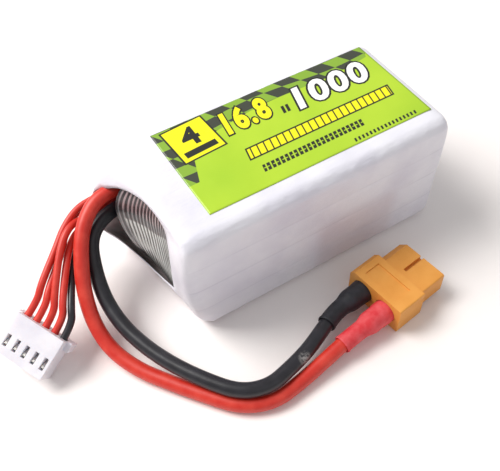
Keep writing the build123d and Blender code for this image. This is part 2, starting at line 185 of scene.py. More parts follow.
class Recipe:
    """The node tree of one material, written from its coordinates to its shader."""

    def __init__(self, name: str) -> None:
        """Starts an empty material.

        Args:
            name: the material's name, before its ending.
        """
        self.material = bpy.data.materials.new(name + FINISHED)
        self.material.use_nodes = True
        self.tree = self.material.node_tree
        self.tree.nodes.clear()

    def add(self, kind: str, settings: dict | None = None, sockets: dict | None = None,
            out: str | int = 0) -> Signal:
        """Adds a node, its settings first and its sockets after them.

        Args:
            kind: the node's type.
            settings: its properties.
            sockets: a value or a signal for each named or numbered input.
            out: the output to give.

        Returns:
            That output.
        """
        node = self.tree.nodes.new(kind)
        for name, value in (settings or {}).items():
            setattr(node, name, value)
        for key, value in (sockets or {}).items():
            if isinstance(value, Signal):
                self.tree.links.new(value.socket, node.inputs[key])
            else:
                four = node.inputs[key].type == "RGBA" and len(value) == 3
                node.inputs[key].default_value = (*value, 1.0) if four else value
        return Signal(self, node.outputs[out])

    def place(self, turn: float = 0.0) -> Signal:
        """Gives the piece's own coordinates in millimetres, turned about Z by degrees.

        Args:
            turn: the angle.

        Returns:
            The coordinates.
        """
        coords = self.add("ShaderNodeTexCoord", out="Object")
        return self.add("ShaderNodeMapping", {}, {
            "Vector": coords, "Rotation": (0.0, 0.0, math.radians(turn)), "Scale": (1 / MM,) * 3})

    def axes(self, place: Signal) -> tuple[Signal, Signal, Signal]:
        """Splits coordinates into x, y and z."""
        x = self.add("ShaderNodeSeparateXYZ", {}, {"Vector": place})
        return x, x.other("Y"), x.other("Z")

    def stretch(self, place: Signal, scale: Point) -> Signal:
        """Scales coordinates by a different amount on each axis."""
        return self.add("ShaderNodeVectorMath", {"operation": "MULTIPLY"}, {0: place, 1: scale})

    def noise(self, place: Signal, scale: float, detail: float = 3.0, rough: float = 0.5) -> Signal:
        """Gives smooth noise about 0.5.

        Args:
            place: coordinates in millimetres.
            scale: features to a millimetre.
            detail: octaves.
            rough: how strong the finer octaves are.

        Returns:
            The noise.
        """
        return self.add("ShaderNodeTexNoise", {}, {
            "Vector": place, "Scale": scale, "Detail": detail, "Roughness": rough})

    def mix(self, share: Signal | float, first: Signal | Colour, second: Signal | Colour) -> Signal:
        """Goes from the first colour to the second."""
        return self.add("ShaderNodeMix", {"data_type": "RGBA"}, {0: share, 6: first, 7: second}, 2)

    def bump(self, height: Signal, depth: float, under: Signal | None = None) -> Signal:
        """Raises the surface.

        Args:
            height: the relief, from 0 to 1.
            depth: how many millimetres a height of 1 stands up.
            under: another bump's normal.

        Returns:
            The normal.
        """
        sockets = {"Strength": 1.0, "Distance": depth * MM, "Height": height}
        return self.add("ShaderNodeBump", {}, {**sockets, **({"Normal": under} if under else {})})

    def close(self, **sockets: Signal | float | Colour) -> bpy.types.Material:
        """Ends the tree with one shader.

        Args:
            sockets: the shader's inputs, with _ for a space.

        Returns:
            The material.
        """
        shader = self.add("ShaderNodeBsdfPrincipled", {},
                          {key.replace("_", " "): value for key, value in sockets.items()})
        output = self.tree.nodes.new("ShaderNodeOutputMaterial")
        self.tree.links.new(shader.socket, output.inputs["Surface"])
        return self.material


# ---- finishes ----------------------------------------------------------------


@dataclass(frozen=True)
class Finish:
    """A finish that makes its material once and puts it on pieces."""

    name: str

    def make(self) -> bpy.types.Material:
        """Makes the material."""
        raise NotImplementedError

    def material(self) -> bpy.types.Material:
        """Gives the material, made at its first use."""
        return bpy.data.materials.get(self.name + FINISHED) or self.make()

    def dress(self, *pieces: bpy.types.Object) -> None:
        """Puts the finish on pieces.

        Args:
            pieces: the objects to dress.
        """
        for piece in pieces:
            piece.data.materials.clear()
            piece.data.materials.append(self.material())


@dataclass(frozen=True)
class ShrinkFilm(Finish):
    """White film shrunk tightly over the cells, with painted shade in its seams and a patch of
    painted warm shade and reflection from the amber connector.
    """

    white: str = "e9e8f0"
    shade: str = "dcdae6"
    # painted warm shade and reflection from the amber connector, on the near side
    connector_reflection: str = "cdbfc4"
    # painted shade in the grooves between the cells, on the sides
    groove_shade: str = "bdbbc9"
    grooves: tuple[float, ...] = (8.7, 16.3, 23.9)

    def make(self) -> bpy.types.Material:
        """Makes the film, with faint clouds, painted shade along the cell seams, a painted warm
        patch from the connector and fine shrink wrinkles.

        Returns:
            The material.
        """
        r = Recipe(self.name)
        place = r.place()
        x, y, z = r.axes(place)
        cloud = r.noise(place, 0.07, 3.0)
        streak = r.noise(r.stretch(place, (0.05, 0.25, 0.9)), 1.0, 4.0)
        side = abs(y).rise(16.6, 17.4)
        # painted shade along the cell seams on the sides
        seam_shade = sum((z.within(level - 0.12, level + 0.12, 0.22) for level in self.grooves[1:]),
                   z.within(self.grooves[0] - 0.12, self.grooves[0] + 0.12, 0.22))
        # where the connector's painted warm shade and reflection lie on the near side
        reflection_patch = x.within(2.5, 24.0, 1.6) * z.within(1.0, 17.0, 2.2) * (-17.0 - y).rise(0.0, 0.5)
        colour = r.mix(cloud.rise(0.42, 0.68), hue(self.white), hue(self.shade))
        colour = r.mix(reflection_patch * 0.42, colour, hue(self.connector_reflection))
        colour = r.mix(seam_shade * side * streak.rise(0.35, 0.6) * 0.55, colour, hue(self.groove_shade))
        grain = r.noise(place, 2.6, 5.0, 0.6)
        crease = r.noise(r.stretch(place, (0.16, 0.5, 0.5)), 1.0, 5.0, 0.62)
        normal = r.bump(grain, 0.012, r.bump(crease, 0.22))
        return r.close(Base_Color=colour, Roughness=0.34 + 0.16 * grain, Normal=normal,
                       Coat_Weight=0.25, Coat_Roughness=0.3, Specular_IOR_Level=0.45)


@dataclass(frozen=True)
class ShadedFilmInside(Finish):
    """The film's inner face, seen inside the mouth, its white painted in shade as a brownish grey.
    """

    # painted shade: the white film's inner face is given a shaded brownish grey
    tone: str = "cdc0c1"

    def make(self) -> bpy.types.Material:
        """Makes the inner face, dull and cloudy, painted in shade.

        Returns:
            The material.
        """
        r = Recipe(self.name)
        place = r.place()
        cloud = r.noise(place, 0.4, 4.0)
        colour = r.mix(cloud, hue(self.tone), hue("ab9d9f"))
        return r.close(Base_Color=colour, Roughness=0.55 + 0.2 * cloud,
                       Normal=r.bump(r.noise(place, 2.0), 0.03))


@dataclass(frozen=True)
class PrintedLabel(Finish):
    """A lime sticker with a plain chequered band, a bare plate and plain gauge bars."""

    lime: str = "b4d52e"
    lime_far: str = "a3ca26"
    check: str = "3a3f33"
    check_light: str = "86ad33"
    yellow: str = "f4ee0a"
    ink: str = "1f211b"
    far_edge: float = 15.2
    left_edge: float = -22.25

    def checks(self, r: Recipe, x: Signal, y: Signal) -> tuple[Signal, Signal]:
        """Draws the chequered band.

        Args:
            r: the label's recipe.
            x: place along the label.
            y: place across it.

        Returns:
            Where the band is, and which of its squares are dark.
        """
        sag = (x * 0.14 + 1.0).wave() * 0.75
        row = (self.far_edge + 0.6 + sag - y) / 3.05
        column = (x - self.left_edge + (self.far_edge - y) * -0.62) / 4.7
        dark = ((row.floor() + column.floor()) * 0.5).cycle(1.0).rise(0.24, 0.26)
        depth = 2.66 - (x - self.left_edge) * 0.021
        slant = 37.5 - x - (self.far_edge - y) * 0.5
        far_band = row.within(-2.0, depth, 0.03) * slant.rise(-0.05, 0.05)
        left_band = (self.left_edge + 6.6 - x - (y - 8.0) * -0.35).rise(-0.05, 0.05) \
            * (y + 3.2).rise(-0.05, 0.05)
        return far_band.most(left_band), dark

    def make(self) -> bpy.types.Material:
        """Makes the print.

        Returns:
            The material.
        """
        r = Recipe(self.name)
        place = r.place()
        x, y, _ = r.axes(place)
        cloud = r.noise(place, 0.05, 2.0)
        band, dark = self.checks(r, x, y)
        colour = r.mix(cloud.rise(0.35, 0.7), hue(self.lime), hue(self.lime_far))
        colour = r.mix(band, colour, r.mix(dark, hue(self.check_light), hue(self.check)))

        turned = r.place(-3.5)
        px, py, _ = r.axes(turned)
        plate_x, plate_y = px + 14.0, py - 9.85
        border = plate_x.within(-5.6, 5.6) * plate_y.within(-5.9, 5.9)
        plate = plate_x.within(-5.15, 5.15) * plate_y.within(-5.45, 5.45)
        plate_bar = plate_x.within(-4.1, 4.1) * plate_y.within(-4.5, -2.7)
        colour = r.mix(border, colour, hue(self.ink))
        colour = r.mix(plate, colour, hue(self.yellow))
        colour = r.mix(plate_bar, colour, hue(self.ink))

        lean = x + y * -0.22
        blocks = lean.cycle(1.72)
        strip = lean.within(-6.4, 33.4)
        rim = y.within(-3.75, 0.05) * strip
        block = y.within(-3.3, -0.4) * lean.within(-6.0, 33.0) * blocks.within(0.10, 0.90, 0.04)
        colour = r.mix(rim, colour, hue(self.ink))
        colour = r.mix(block, colour, hue(self.yellow))

        ticks = lean.cycle(1.18).within(0.14, 0.84, 0.05)
        scale = y.within(-8.3, -6.2) * lean.within(-4.4, 22.4) * ticks
        notch = y.within(-7.35, -7.1) * lean.cycle(2.36).within(0.2, 0.8, 0.05)
        fine = y.within(-11.6, -10.5, 0.05) * lean.within(18.0, 35.5) \
            * lean.cycle(1.05).within(0.2, 0.7, 0.06)
        mark = y.within(4.9, 7.3) * lean.within(5.9, 8.3) * lean.cycle(1.2).within(0.1, 0.75, 0.05)
        colour = r.mix(scale * (1 - notch), colour, hue(self.ink))
        colour = r.mix(fine.most(mark), colour, hue(self.ink))

        wear = r.noise(place, 1.4, 5.0, 0.6)
        normal = r.bump(wear, 0.01, r.bump(r.noise(place, 0.12, 2.0), 0.25))
        return r.close(Base_Color=colour, Roughness=0.36 + 0.14 * wear, Normal=normal,
                       Coat_Weight=0.3, Coat_Roughness=0.22)


@dataclass(frozen=True)
class Ink(Finish):
    """A thick printed ink."""

    tone: str = "ffffff"

    def make(self) -> bpy.types.Material:
        """Makes the ink, faintly mottled.

        Returns:
            The material.
        """
        r = Recipe(self.name)
        place = r.place()
        mottle = r.noise(place, 3.0, 4.0)
        base = hue(self.tone)
        colour = r.mix(mottle.rise(0.5, 0.9), base, tuple(0.8 * part for part in base))
        return r.close(Base_Color=colour, Roughness=0.38 + 0.12 * mottle,
                       Normal=r.bump(mottle, 0.008), Coat_Weight=0.2, Coat_Roughness=0.25)


@dataclass(frozen=True)
class Silicone(Finish):
    """Soft silicone insulation, with a dusty bloom and an optional scuff."""

    tone: str = "cc2a1c"
    bloom: str = "da4030"
    rough: float = 0.36
    scuff: Point | None = None

    def make(self) -> bpy.types.Material:
        """Makes the insulation.

        Returns:
            The material.
        """
        r = Recipe(self.name)
        place = r.place()
        cloud = r.noise(place, 0.35, 4.0)
        dust = r.noise(place, 5.0, 4.0, 0.65)
        colour = r.mix(cloud.rise(0.4, 0.75), hue(self.tone), hue(self.bloom))
        colour = r.mix(dust.rise(0.66, 0.8) * 0.18, colour, hue("d8d2d0"))
        if self.scuff is not None:
            away = r.add("ShaderNodeVectorMath", {"operation": "DISTANCE"},
                         {0: place, 1: self.scuff}, "Value")
            rub = (1 - away.rise(0.5, 1.9)) * r.noise(place, 1.6, 5.0, 0.7).rise(0.44, 0.56)
            colour = r.mix(rub * 0.85, colour, hue("a39f9d"))
        normal = r.bump(dust, 0.01, r.bump(cloud, 0.06))
        return r.close(Base_Color=colour, Roughness=self.rough + 0.16 * cloud, Normal=normal,
                       Coat_Weight=0.12, Coat_Roughness=0.35, Specular_IOR_Level=0.5)


@dataclass(frozen=True)
class ShrinkTube(Finish):
    """Matt polyolefin tube, shrunk on."""

    tone: str = "d8343c"
    high: str = "e2575c"

    def make(self) -> bpy.types.Material:
        """Makes the tube, with faint lengthwise draw lines.

        Returns:
            The material.
        """
        r = Recipe(self.name)
        place = r.place()
        cloud = r.noise(place, 0.5, 4.0)
        grain = r.noise(place, 4.0, 5.0, 0.65)
        colour = r.mix(cloud.rise(0.35, 0.7), hue(self.tone), hue(self.high))
        normal = r.bump(grain, 0.025, r.bump(cloud, 0.12))
        return r.close(Base_Color=colour, Roughness=0.46 + 0.2 * grain, Normal=normal,
                       Specular_IOR_Level=0.4)


@dataclass(frozen=True)
class Nylon(Finish):
    """Moulded nylon with a fine spark-worn face."""

    tone: str = "e6a04a"
    deep: str = "dd943e"
    glow: float = 0.0
    rough: float = 0.42

    def make(self) -> bpy.types.Material:
        """Makes the nylon.

        Returns:
            The material.
        """
        r = Recipe(self.name)
        place = r.place()
        flow = r.noise(place, 0.16, 3.0)
        grain = r.noise(place, 7.0, 4.0, 0.6)
        speck = r.noise(place, 2.2, 5.0, 0.7)
        colour = r.mix(flow.rise(0.35, 0.7), hue(self.tone), hue(self.deep))
        colour = r.mix(speck.rise(0.62, 0.8) * 0.25, colour, hue(self.deep))
        normal = r.bump(grain, 0.02, r.bump(speck, 0.05))
        return r.close(Base_Color=colour, Roughness=self.rough + 0.18 * grain, Normal=normal,
                       Subsurface_Weight=self.glow, Subsurface_Radius=(1.0, 0.8, 0.7),
                       Subsurface_Scale=0.002, Specular_IOR_Level=0.45)


@dataclass(frozen=True)
class Plating(Finish):
    """Plated or plain metal, rubbed by handling."""

    tone: str = "c9c6bf"
    dull: str = "8f8b84"
    rough: float = 0.24

    def make(self) -> bpy.types.Material:
        """Makes the metal, with fine scratches.

        Returns:
            The material.
        """
        r = Recipe(self.name)
        place = r.place()
        cloud = r.noise(place, 0.9, 4.0)
        scratch = r.noise(r.stretch(place, (0.4, 6.0, 6.0)), 1.0, 4.0, 0.6)
        colour = r.mix(cloud.rise(0.45, 0.8), hue(self.tone), hue(self.dull))
        return r.close(Base_Color=colour, Metallic=1.0, Roughness=self.rough + 0.2 * cloud,
                       Normal=r.bump(scratch, 0.012))


@dataclass(frozen=True)
class GlassTape(Finish):
    """Strapping tape's glass strands, painted with a reflection of the floor below and painted
    shadow under the film's rim.
    """

    pitch: float = 0.95
    level: float = 19.8                   # height of the painted floor reflection's upper edge
    edge: float = 4.4                     # its edge beside the leads at the floor, past which painted shade begins
    lean: float = 0.13

    def make(self) -> bpy.types.Material:
        """Makes the strands, with a painted floor reflection below and painted shade above it and
        beside the leads.

        Returns:
            The material.
        """
        r = Recipe(self.name)
        place = r.place()
        _, y, z = r.axes(place)
        wander = r.noise(r.stretch(place, (0.1, 0.3, 0.12)), 1.0, 2.0) * 0.6
        # real strands and gaps, their contrast partly painted: painted highlights on the strands
        # and painted shade between them
        strand = abs((y + wander).cycle(self.pitch) * 2.0 - 1.0)
        above = z - self.level - (-1.5 - y).most(0.0) * 0.6 - r.noise(place, 0.5, 2.0)
        beside = y - self.edge - z * self.lean
        # masks of the painted shadow under the film's rim, of the painted shade beside the leads,
        # and of a painted shaded band just above the reflection
        upper, lead_shade = above.rise(-0.5, 0.1), beside.rise(-0.35, 0.25)
        band = above.within(-0.1, 2.8, 0.5)
        fibre = r.noise(r.stretch(place, (1.0, 7.0, 0.25)), 1.0, 4.0, 0.6)
        # painted reflection of the white floor on the lower strands, painted shadow under the rim
        # on the upper ones, and painted shade beside the leads
        pale = r.mix(strand.rise(0.5, 0.72), hue("dadedb"), hue("4f5350"))
        rim_shadow = r.mix(strand.rise(0.3, 0.62), hue("a08a8c"), hue("2c2226"))
        dark = r.mix(strand.rise(0.22, 0.42), hue("77777a"), hue("2a282b"))
        colour = r.mix(upper, pale, rim_shadow)
        colour = r.mix(lead_shade.most(band), colour, dark)
        colour = r.mix(fibre.rise(0.5, 0.8) * 0.3, colour, hue("6a6463"))
        return r.close(Base_Color=colour, Roughness=0.24 + 0.25 * fibre,
                       Normal=r.bump(fibre, 0.03), Coat_Weight=0.5, Coat_Roughness=0.15)


@dataclass(frozen=True)
class Sheet(Finish):
    """Fibre sheet, foam, laminate or foil, with its own mottle and relief."""

    tone: str = "d9d4c4"
    speck: str = "b6ae9a"
    scale: float = 1.2
    relief: float = 0.04
    rough: float = 0.6
    metal: float = 0.0

    def make(self) -> bpy.types.Material:
        """Makes the sheet.

        Returns:
            The material.
        """
        r = Recipe(self.name)
        place = r.place()
        mottle = r.noise(place, self.scale, 5.0, 0.6)
        broad = r.noise(place, 0.12, 2.0)
        colour = r.mix(mottle.rise(0.4, 0.7), hue(self.tone), hue(self.speck))
        return r.close(Base_Color=colour, Metallic=self.metal, Roughness=self.rough + 0.15 * mottle,
                       Normal=r.bump(mottle, self.relief, r.bump(broad, 0.2)))


FILM = ShrinkFilm("shrink_film")
SHADED_FILM_INSIDE = ShadedFilmInside("shrink_film_inside_shade")
LABEL = PrintedLabel("label_print")
RED_SILICONE = Silicone("red_silicone")
BLACK_SILICONE = Silicone("black_silicone", "1a191f", "26252c", 0.3, (-15.2, -38.6, 5.6))
WHITE_NYLON = Nylon("white_nylon", "ece9ef", "dcd8e2", 0.25, 0.36)
AMBER_NYLON = Nylon("amber_nylon")
GOLD = Plating("gold_contact", "d9a441", "a87a2c", 0.2)
TIN = Plating("tin_terminal")
# a brighter copy of the terminal tin: painted glint for the tongues in their dark windows
GLINT_TIN = Plating("tin_lance_glint", "e4e2dd", "c2bfb8", 0.3)
SOLDER = Plating("solder", "b4b3b0", "7f7e7c", 0.3)
COPPER = Plating("bare_conductor", "c98f6a", "b3b0aa", 0.32)


# ---- meshes ------------------------------------------------------------------


def shaped_sheet(columns: int, rows: int,
                 shape: Callable[[float, float], Vector]) -> bmesh.types.BMesh:
    """Makes a grid and moves each of its points to its place.

    Args:
        columns: faces along u.
        rows: faces along v.
        shape: the place of the point at shares u and v, in metres.

    Returns:
        The mesh, with meeting points merged.
    """
    bm = bmesh.new()
    bmesh.ops.create_grid(bm, x_segments=columns, y_segments=rows, size=0.5)
    for vert in bm.verts:
        vert.co = shape(vert.co.x + 0.5, vert.co.y + 0.5)
    bmesh.ops.remove_doubles(bm, verts=bm.verts, dist=WELD)
    return bm


def face_outwards(bm: bmesh.types.BMesh, centre: Vector) -> None:
    """Turns a mesh's faces so that on the whole they look away from centre.

    Args:
        bm: the mesh.
        centre: the point that they turn from.
    """
    bmesh.ops.recalc_face_normals(bm, faces=bm.faces)
    if sum(f.normal.dot(f.calc_center_median() - centre) * f.calc_area() for f in bm.faces) < 0:
        bmesh.ops.reverse_faces(bm, faces=bm.faces)


def placed(bm: bmesh.types.BMesh, name: str) -> bpy.types.Object:
    """Turns a mesh into a smooth-shaded object in the scene.

    Args:
        bm: the mesh, which is used up.
        name: the object's name.

    Returns:
        The object.
    """
    mesh = bpy.data.meshes.new(name)
    bm.to_mesh(mesh)
    bm.free()
    mesh.shade_smooth()
    piece = bpy.data.objects.new(name, mesh)
    bpy.context.scene.collection.objects.link(piece)
    return piece


def settled(piece: bpy.types.Object, node: str | None = None) -> bpy.types.Object:
    """Gives a piece its body, hides the CAD solid that it takes the place of, and reports it.

    Args:
        piece: the piece.
        node: the CAD solid that it takes the place of, if there is one.

    Returns:
        The piece.
    """
    if node is not None:
        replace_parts(piece, node)
    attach(piece, BODY)
    log.info("%s: %d faces", piece.name, len(piece.data.polygons))
    return piece


def walled(piece: bpy.types.Object, wall: float, inside: int = 0) -> bpy.types.Object:
    """Gives a surface a wall on its inner side.

    Args:
        piece: the surface.
        wall: thickness in millimetres.
        inside: material slots to step down for the inner face.

    Returns:
        The piece.
    """
    solid = piece.modifiers.new("wall", "SOLIDIFY")
    solid.thickness, solid.offset = wall * MM, -1.0
    solid.use_even_offset = True
    solid.material_offset = inside
    return piece


def carved(solids: Sequence[Block], cuts: Sequence[Block], soften: float) -> bmesh.types.BMesh:
    """Joins square blocks, cuts square pockets in them and softens the edges.

    Args:
        solids: the low and high place of each block on its three axes, in millimetres.
        cuts: the same for each pocket.
        soften: how far the edges are taken back, in millimetres.

    Returns:
        The mesh, in millimetres.
    """
    blocks = (*solids, *cuts)
    levels = [sorted({level for block in blocks for level in block[axis]}) for axis in range(3)]

    def held(cell: tuple[int, ...]) -> bool:
        """Says whether a cell between the levels is solid.

        Args:
            cell: its place along each axis.

        Returns:
            True if a block fills it and no pocket does.
        """
        if any(not 0 <= cell[axis] < len(levels[axis]) - 1 for axis in range(3)):
            return False
        middle = [(level[place] + level[place + 1]) / 2 for level, place in zip(levels, cell)]
        filled, cut = (any(all(low < spot < high for spot, (low, high) in zip(middle, block))
                           for block in group) for group in (solids, cuts))
        return filled and not cut

    bm = bmesh.new()
    for cell in product(*(range(len(level) - 1) for level in levels)):
        for axis, step in product(range(3), (0, 1)):
            beyond = tuple(place + (2 * step - 1) * (axis == turn)
                           for turn, place in enumerate(cell))
            if not held(cell) or held(beyond):
                continue
            first, second = (turn for turn in range(3) if turn != axis)
            ring = []
            for a, b in ((0, 0), (1, 0), (1, 1), (0, 1)):
                corner = list(cell)
                corner[axis] += step
                corner[first] += a
                corner[second] += b
                ring.append(bm.verts.new([level[place] for level, place in zip(levels, corner)]))
            bm.faces.new(ring)
    bmesh.ops.remove_doubles(bm, verts=bm.verts, dist=WELD)
    bmesh.ops.recalc_face_normals(bm, faces=bm.faces)
    bmesh.ops.dissolve_limit(bm, angle_limit=FLAT, verts=bm.verts, edges=bm.edges)
    sharp = [edge for edge in bm.edges if edge.is_manifold and edge.calc_face_angle() > SHARP]
    bmesh.ops.bevel(bm, geom=sharp, offset=soften, segments=2, affect="EDGES", clamp_overlap=True)
    return bm


def drawn(curve: bpy.types.Curve) -> bpy.types.Mesh:
    """Gives the mesh that Blender draws for a curve, a line if it has no bevel.

    Args:
        curve: the curve.

    Returns:
        The mesh.
    """
    holder = bpy.data.objects.new("holder", curve)
    bpy.context.scene.collection.objects.link(holder)
    bpy.context.view_layer.update()
    mesh = bpy.data.meshes.new_from_object(holder)
    bpy.data.objects.remove(holder)
    return mesh


def rounded(start: Vector, corner: Vector, end: Vector, t: float, hold: float) -> Vector:
    """Goes from start to end round a corner.

    Args:
        start: where the line begins.
        corner: the corner that it rounds.
        end: where it ends.
        t: how far along, from 0 to 1.
        hold: how closely it keeps to the corner.

    Returns:
        The point.
    """
    a, b, c = (1 - t) ** 2, 2 * hold * t * (1 - t), t ** 2
    return (start * a + corner * b + end * c) / (a + b + c)


@dataclass
class Loop:
    """A closed smooth line through knots, each at its own share of the way round, from 0 to 4."""

    knots: Sequence[tuple[float, Point]]

    def at(self, share: float) -> Vector:
        """Gives the point at a share of the way round.

        Args:
            share: from 0 to 4, past which it comes round again.

        Returns:
            The point.
        """
        count, share = len(self.knots), share % 4.0
        first = (bisect_right([k[0] for k in self.knots], share) - 1) % count

        def knot(step: int) -> tuple[float, Vector]:
            """Gives the knot some steps after the first, its share unwound."""
            turns, index = divmod(first + step, count)
            return self.knots[index][0] + 4.0 * turns, Vector(self.knots[index][1])

        (s0, p0), (s1, p1), (s2, p2), (s3, p3) = (knot(step) for step in (-1, 0, 1, 2))
        span = s2 - s1
        t = ((share - s1) % 4.0) / span
        leave, arrive = (p2 - p0) * (span / (s2 - s0)), (p3 - p1) * (span / (s3 - s1))
        return (p1 * (2 * t ** 3 - 3 * t ** 2 + 1) + leave * (t ** 3 - 2 * t ** 2 + t)
                + p2 * (3 * t ** 2 - 2 * t ** 3) + arrive * (t ** 3 - t ** 2))


@dataclass
class Path:
    """A line of points that can be followed by distance."""

    points: list[Vector]
    reach: list[float] = field(init=False)

    def __post_init__(self) -> None:
        """Adds up the distance to each point."""
        self.reach = [0.0]
        for a, b in zip(self.points, self.points[1:]):
            self.reach.append(self.reach[-1] + (b - a).length)

    @property
    def length(self) -> float:
        """The whole distance."""
        return self.reach[-1]

    def at(self, distance: float) -> tuple[Vector, Vector]:
        """Follows the line.

        Args:
            distance: metres from its start.

        Returns:
            The point there, and the direction of the line.
        """
        index = min(max(bisect_right(self.reach, distance) - 1, 0), len(self.points) - 2)
        a, b = self.points[index], self.points[index + 1]
        near, far = self.reach[index], self.reach[index + 1]
        share = (distance - near) / max(far - near, 1e-9)
        return a.lerp(b, share), (b - a).normalized()


# ---- sleeve and label --------------------------------------------------------


@dataclass
class ShrinkSleeve:
    """The film sleeve: a rounded box, its mouth drawn in over the leads and its far end closed."""

    width: float = 36.0
    height: float = 32.6
    corner: float = 3.1
    mouth_start: float = -26.6
    end_start: float = 33.6
    end_face: float = 38.2
    wall: float = 0.22
    edge_pucker: float = 0.16
    groove_depth: float = 0.15
    mouth_hold: float = 3.4               # how closely the film keeps to the corner it rounds
    end_hold: float = 4.2
    mouth_heel: float = 1.7               # how far the mouth is drawn in at its near bottom edge
    end_swell: float = 1.4
    end_heel: Span = (0.24, 2.8)          # slope and height of the end's lower edge
    around: int = 300
    mouth_rows: int = 34
    body_rows: int = 64
    end_rows: int = 30
    grooves: tuple[float, ...] = (8.7, 16.3, 23.9)
    rim: Loop = field(default_factory=lambda: Loop([
        (0.0, (-31.3, -8.0, 7.2)), (0.05, (-31.5, -8.4, 8.6)), (0.3, (-31.9, -9.6, 13.0)),
        (0.5, (-32.0, -10.3, 19.0)), (0.75, (-31.6, -9.8, 25.0)), (1.0, (-30.9, -7.2, 28.6)),
        (1.3, (-31.3, -1.0, 30.0)), (1.5, (-32.3, 4.0, 29.4)), (1.7, (-33.9, 8.8, 27.9)),
        (1.85, (-35.4, 12.0, 25.9)), (1.97, (-37.0, 14.8, 24.0)), (2.15, (-38.2, 17.2, 20.4)),
        (2.5, (-38.2, 17.5, 13.0)), (2.85, (-38.0, 17.1, 7.0)), (3.1, (-35.7, 12.4, 5.9)),
        (3.35, (-33.8, 6.5, 5.2)), (3.65, (-32.5, -0.5, 5.6)), (3.93, (-31.5, -6.6, 6.6))]))
    shoulder: Loop = field(default_factory=lambda: Loop([(share, (x, 0, 0)) for share, x in (
        (0.0, -29.6), (0.15, -30.4), (0.32, -31.6), (0.5, -32.2), (0.7, -32.5), (0.85, -32.2),
        (1.0, -31.4), (1.3, -31.4), (1.6, -31.9), (1.85, -33.3), (2.05, -34.4), (2.5, -34.8),
        (2.9, -34.0), (3.2, -32.0), (3.6, -30.4), (3.85, -29.4))]))

    def sides(self) -> list[float]:
        """Gives the length of each side, between the middles of its corners."""
        turn = self.corner * (math.pi / 2 - 2)
        return [self.height + turn, self.width + turn] * 2

    def share(self, u: float) -> float:
        """Turns an even share of the way round into sides, from the near bottom edge at 0.

        Args:
            u: the even share, from 0 to 1.

        Returns:
            The sides gone round, from 0 to 4.
        """
        lengths = self.sides()
        left = (u % 1.0) * sum(lengths)
        for side, length in enumerate(lengths):
            if left < length:
                return side + left / length
            left -= length
        return 0.0

    def outline(self, share: float) -> tuple[Vector, Vector]:
        """Follows the straight part's section.

        Args:
            share: sides gone round, from 0 to 4.

        Returns:
            The point of the section and its outward direction, both in the YZ plane.
        """
        side, part = divmod(share % 4.0, 1.0)
        r, half, high = self.corner, self.width / 2, self.height
        faces = ((-1, 0), (0, 1), (1, 0), (0, -1))
        ends = ((-half + r, r), (-half + r, high - r), (half - r, high - r), (half - r, r))
        out = Vector((0, *faces[int(side)]))
        along = Vector((0, *faces[(int(side) + 1) % 4]))
        start, end = Vector((0, *ends[int(side)])), Vector((0, *ends[(int(side) + 1) % 4]))
        bend, gone = r * math.pi / 4, part * self.sides()[int(side)]
        straight = (end - start).length
        if gone < bend:
            angle = (gone - bend) / r
            base = start
        elif gone < bend + straight:
            angle = 0.0
            base = start + along * (gone - bend)
        else:
            angle = (gone - bend - straight) / r
            base = end
        normal = out * math.cos(angle) + along * math.sin(angle)
        return base + normal * r, normal

    def sink(self, x: float, y: float, z: float) -> float:
        """Gives how far the film lies inside its nominal face.

        Args:
            x: place along the pack.
            y: place across it.
            z: height.

        Returns:
            The depth in millimetres.
        """
        place = Vector((x, y, z))
        depth = 0.14 + 0.10 * noise.noise(place * 0.07)
        on_side = clamped((abs(y) - 16.5) / 1.2)
        for level in self.grooves:
            strength = 0.75 + 0.6 * noise.noise(Vector((x * 0.09, level, y * 0.1)))
            wander = 0.25 * noise.noise(Vector((x * 0.12, level, 3)))
            depth += self.groove_depth * on_side * strength * hump(z, level + wander, 0.5)
        edge = hump(z, self.height - 0.6, 2.4) * hump(abs(y), self.width / 2, 2.6)
        low_edge = hump(z, 0.6, 2.4) * hump(abs(y), self.width / 2, 2.6)
        pucker = noise.noise(Vector((x * 0.42, y * 0.3, z * 0.9))) \
            + 0.6 * noise.noise(Vector((x * 1.1, y, z * 1.2)))
        return depth + self.edge_pucker * (edge + low_edge) * (0.7 + pucker)

    def top(self, x: float, y: float) -> float:
        """Gives the height of the film's top face."""
        return self.height - self.sink(x, y, self.height)

    def body_point(self, x: float, share: float) -> Vector:
        """Gives a point of the straight part."""
        point, normal = self.outline(share)
        return Vector((x, point.y, point.z)) - normal * self.sink(x, point.y, point.z)

    def mouth_point(self, share: float, t: float) -> Vector:
        """Gives a point of the mouth, from the rim at t 0 to the straight part at t 1.

        Args:
            share: sides gone round.
            t: how far from the rim.

        Returns:
            The point in millimetres.
        """
        start = self.body_point(self.mouth_start, share)
        section, normal = self.outline(share)
        heel = hump((share + 2.0) % 4.0, 2.0, 0.16)
        shoulder = Vector((self.shoulder.at(share).x, start.y, start.z))
        corner = shoulder - normal * (0.12 + self.mouth_heel * heel)
        rim = self.rim.at(share)
        point = rounded(start, corner, rim, 1 - t, self.mouth_hold)
        fold = noise.noise(Vector((share * 2.3, point.y * 0.18, point.z * 0.18)))
        swell = math.sin(math.pi * (1 - t)) * 0.22 * fold
        return point + Vector((swell, 0, 0)) - normal * abs(swell) * 0.5

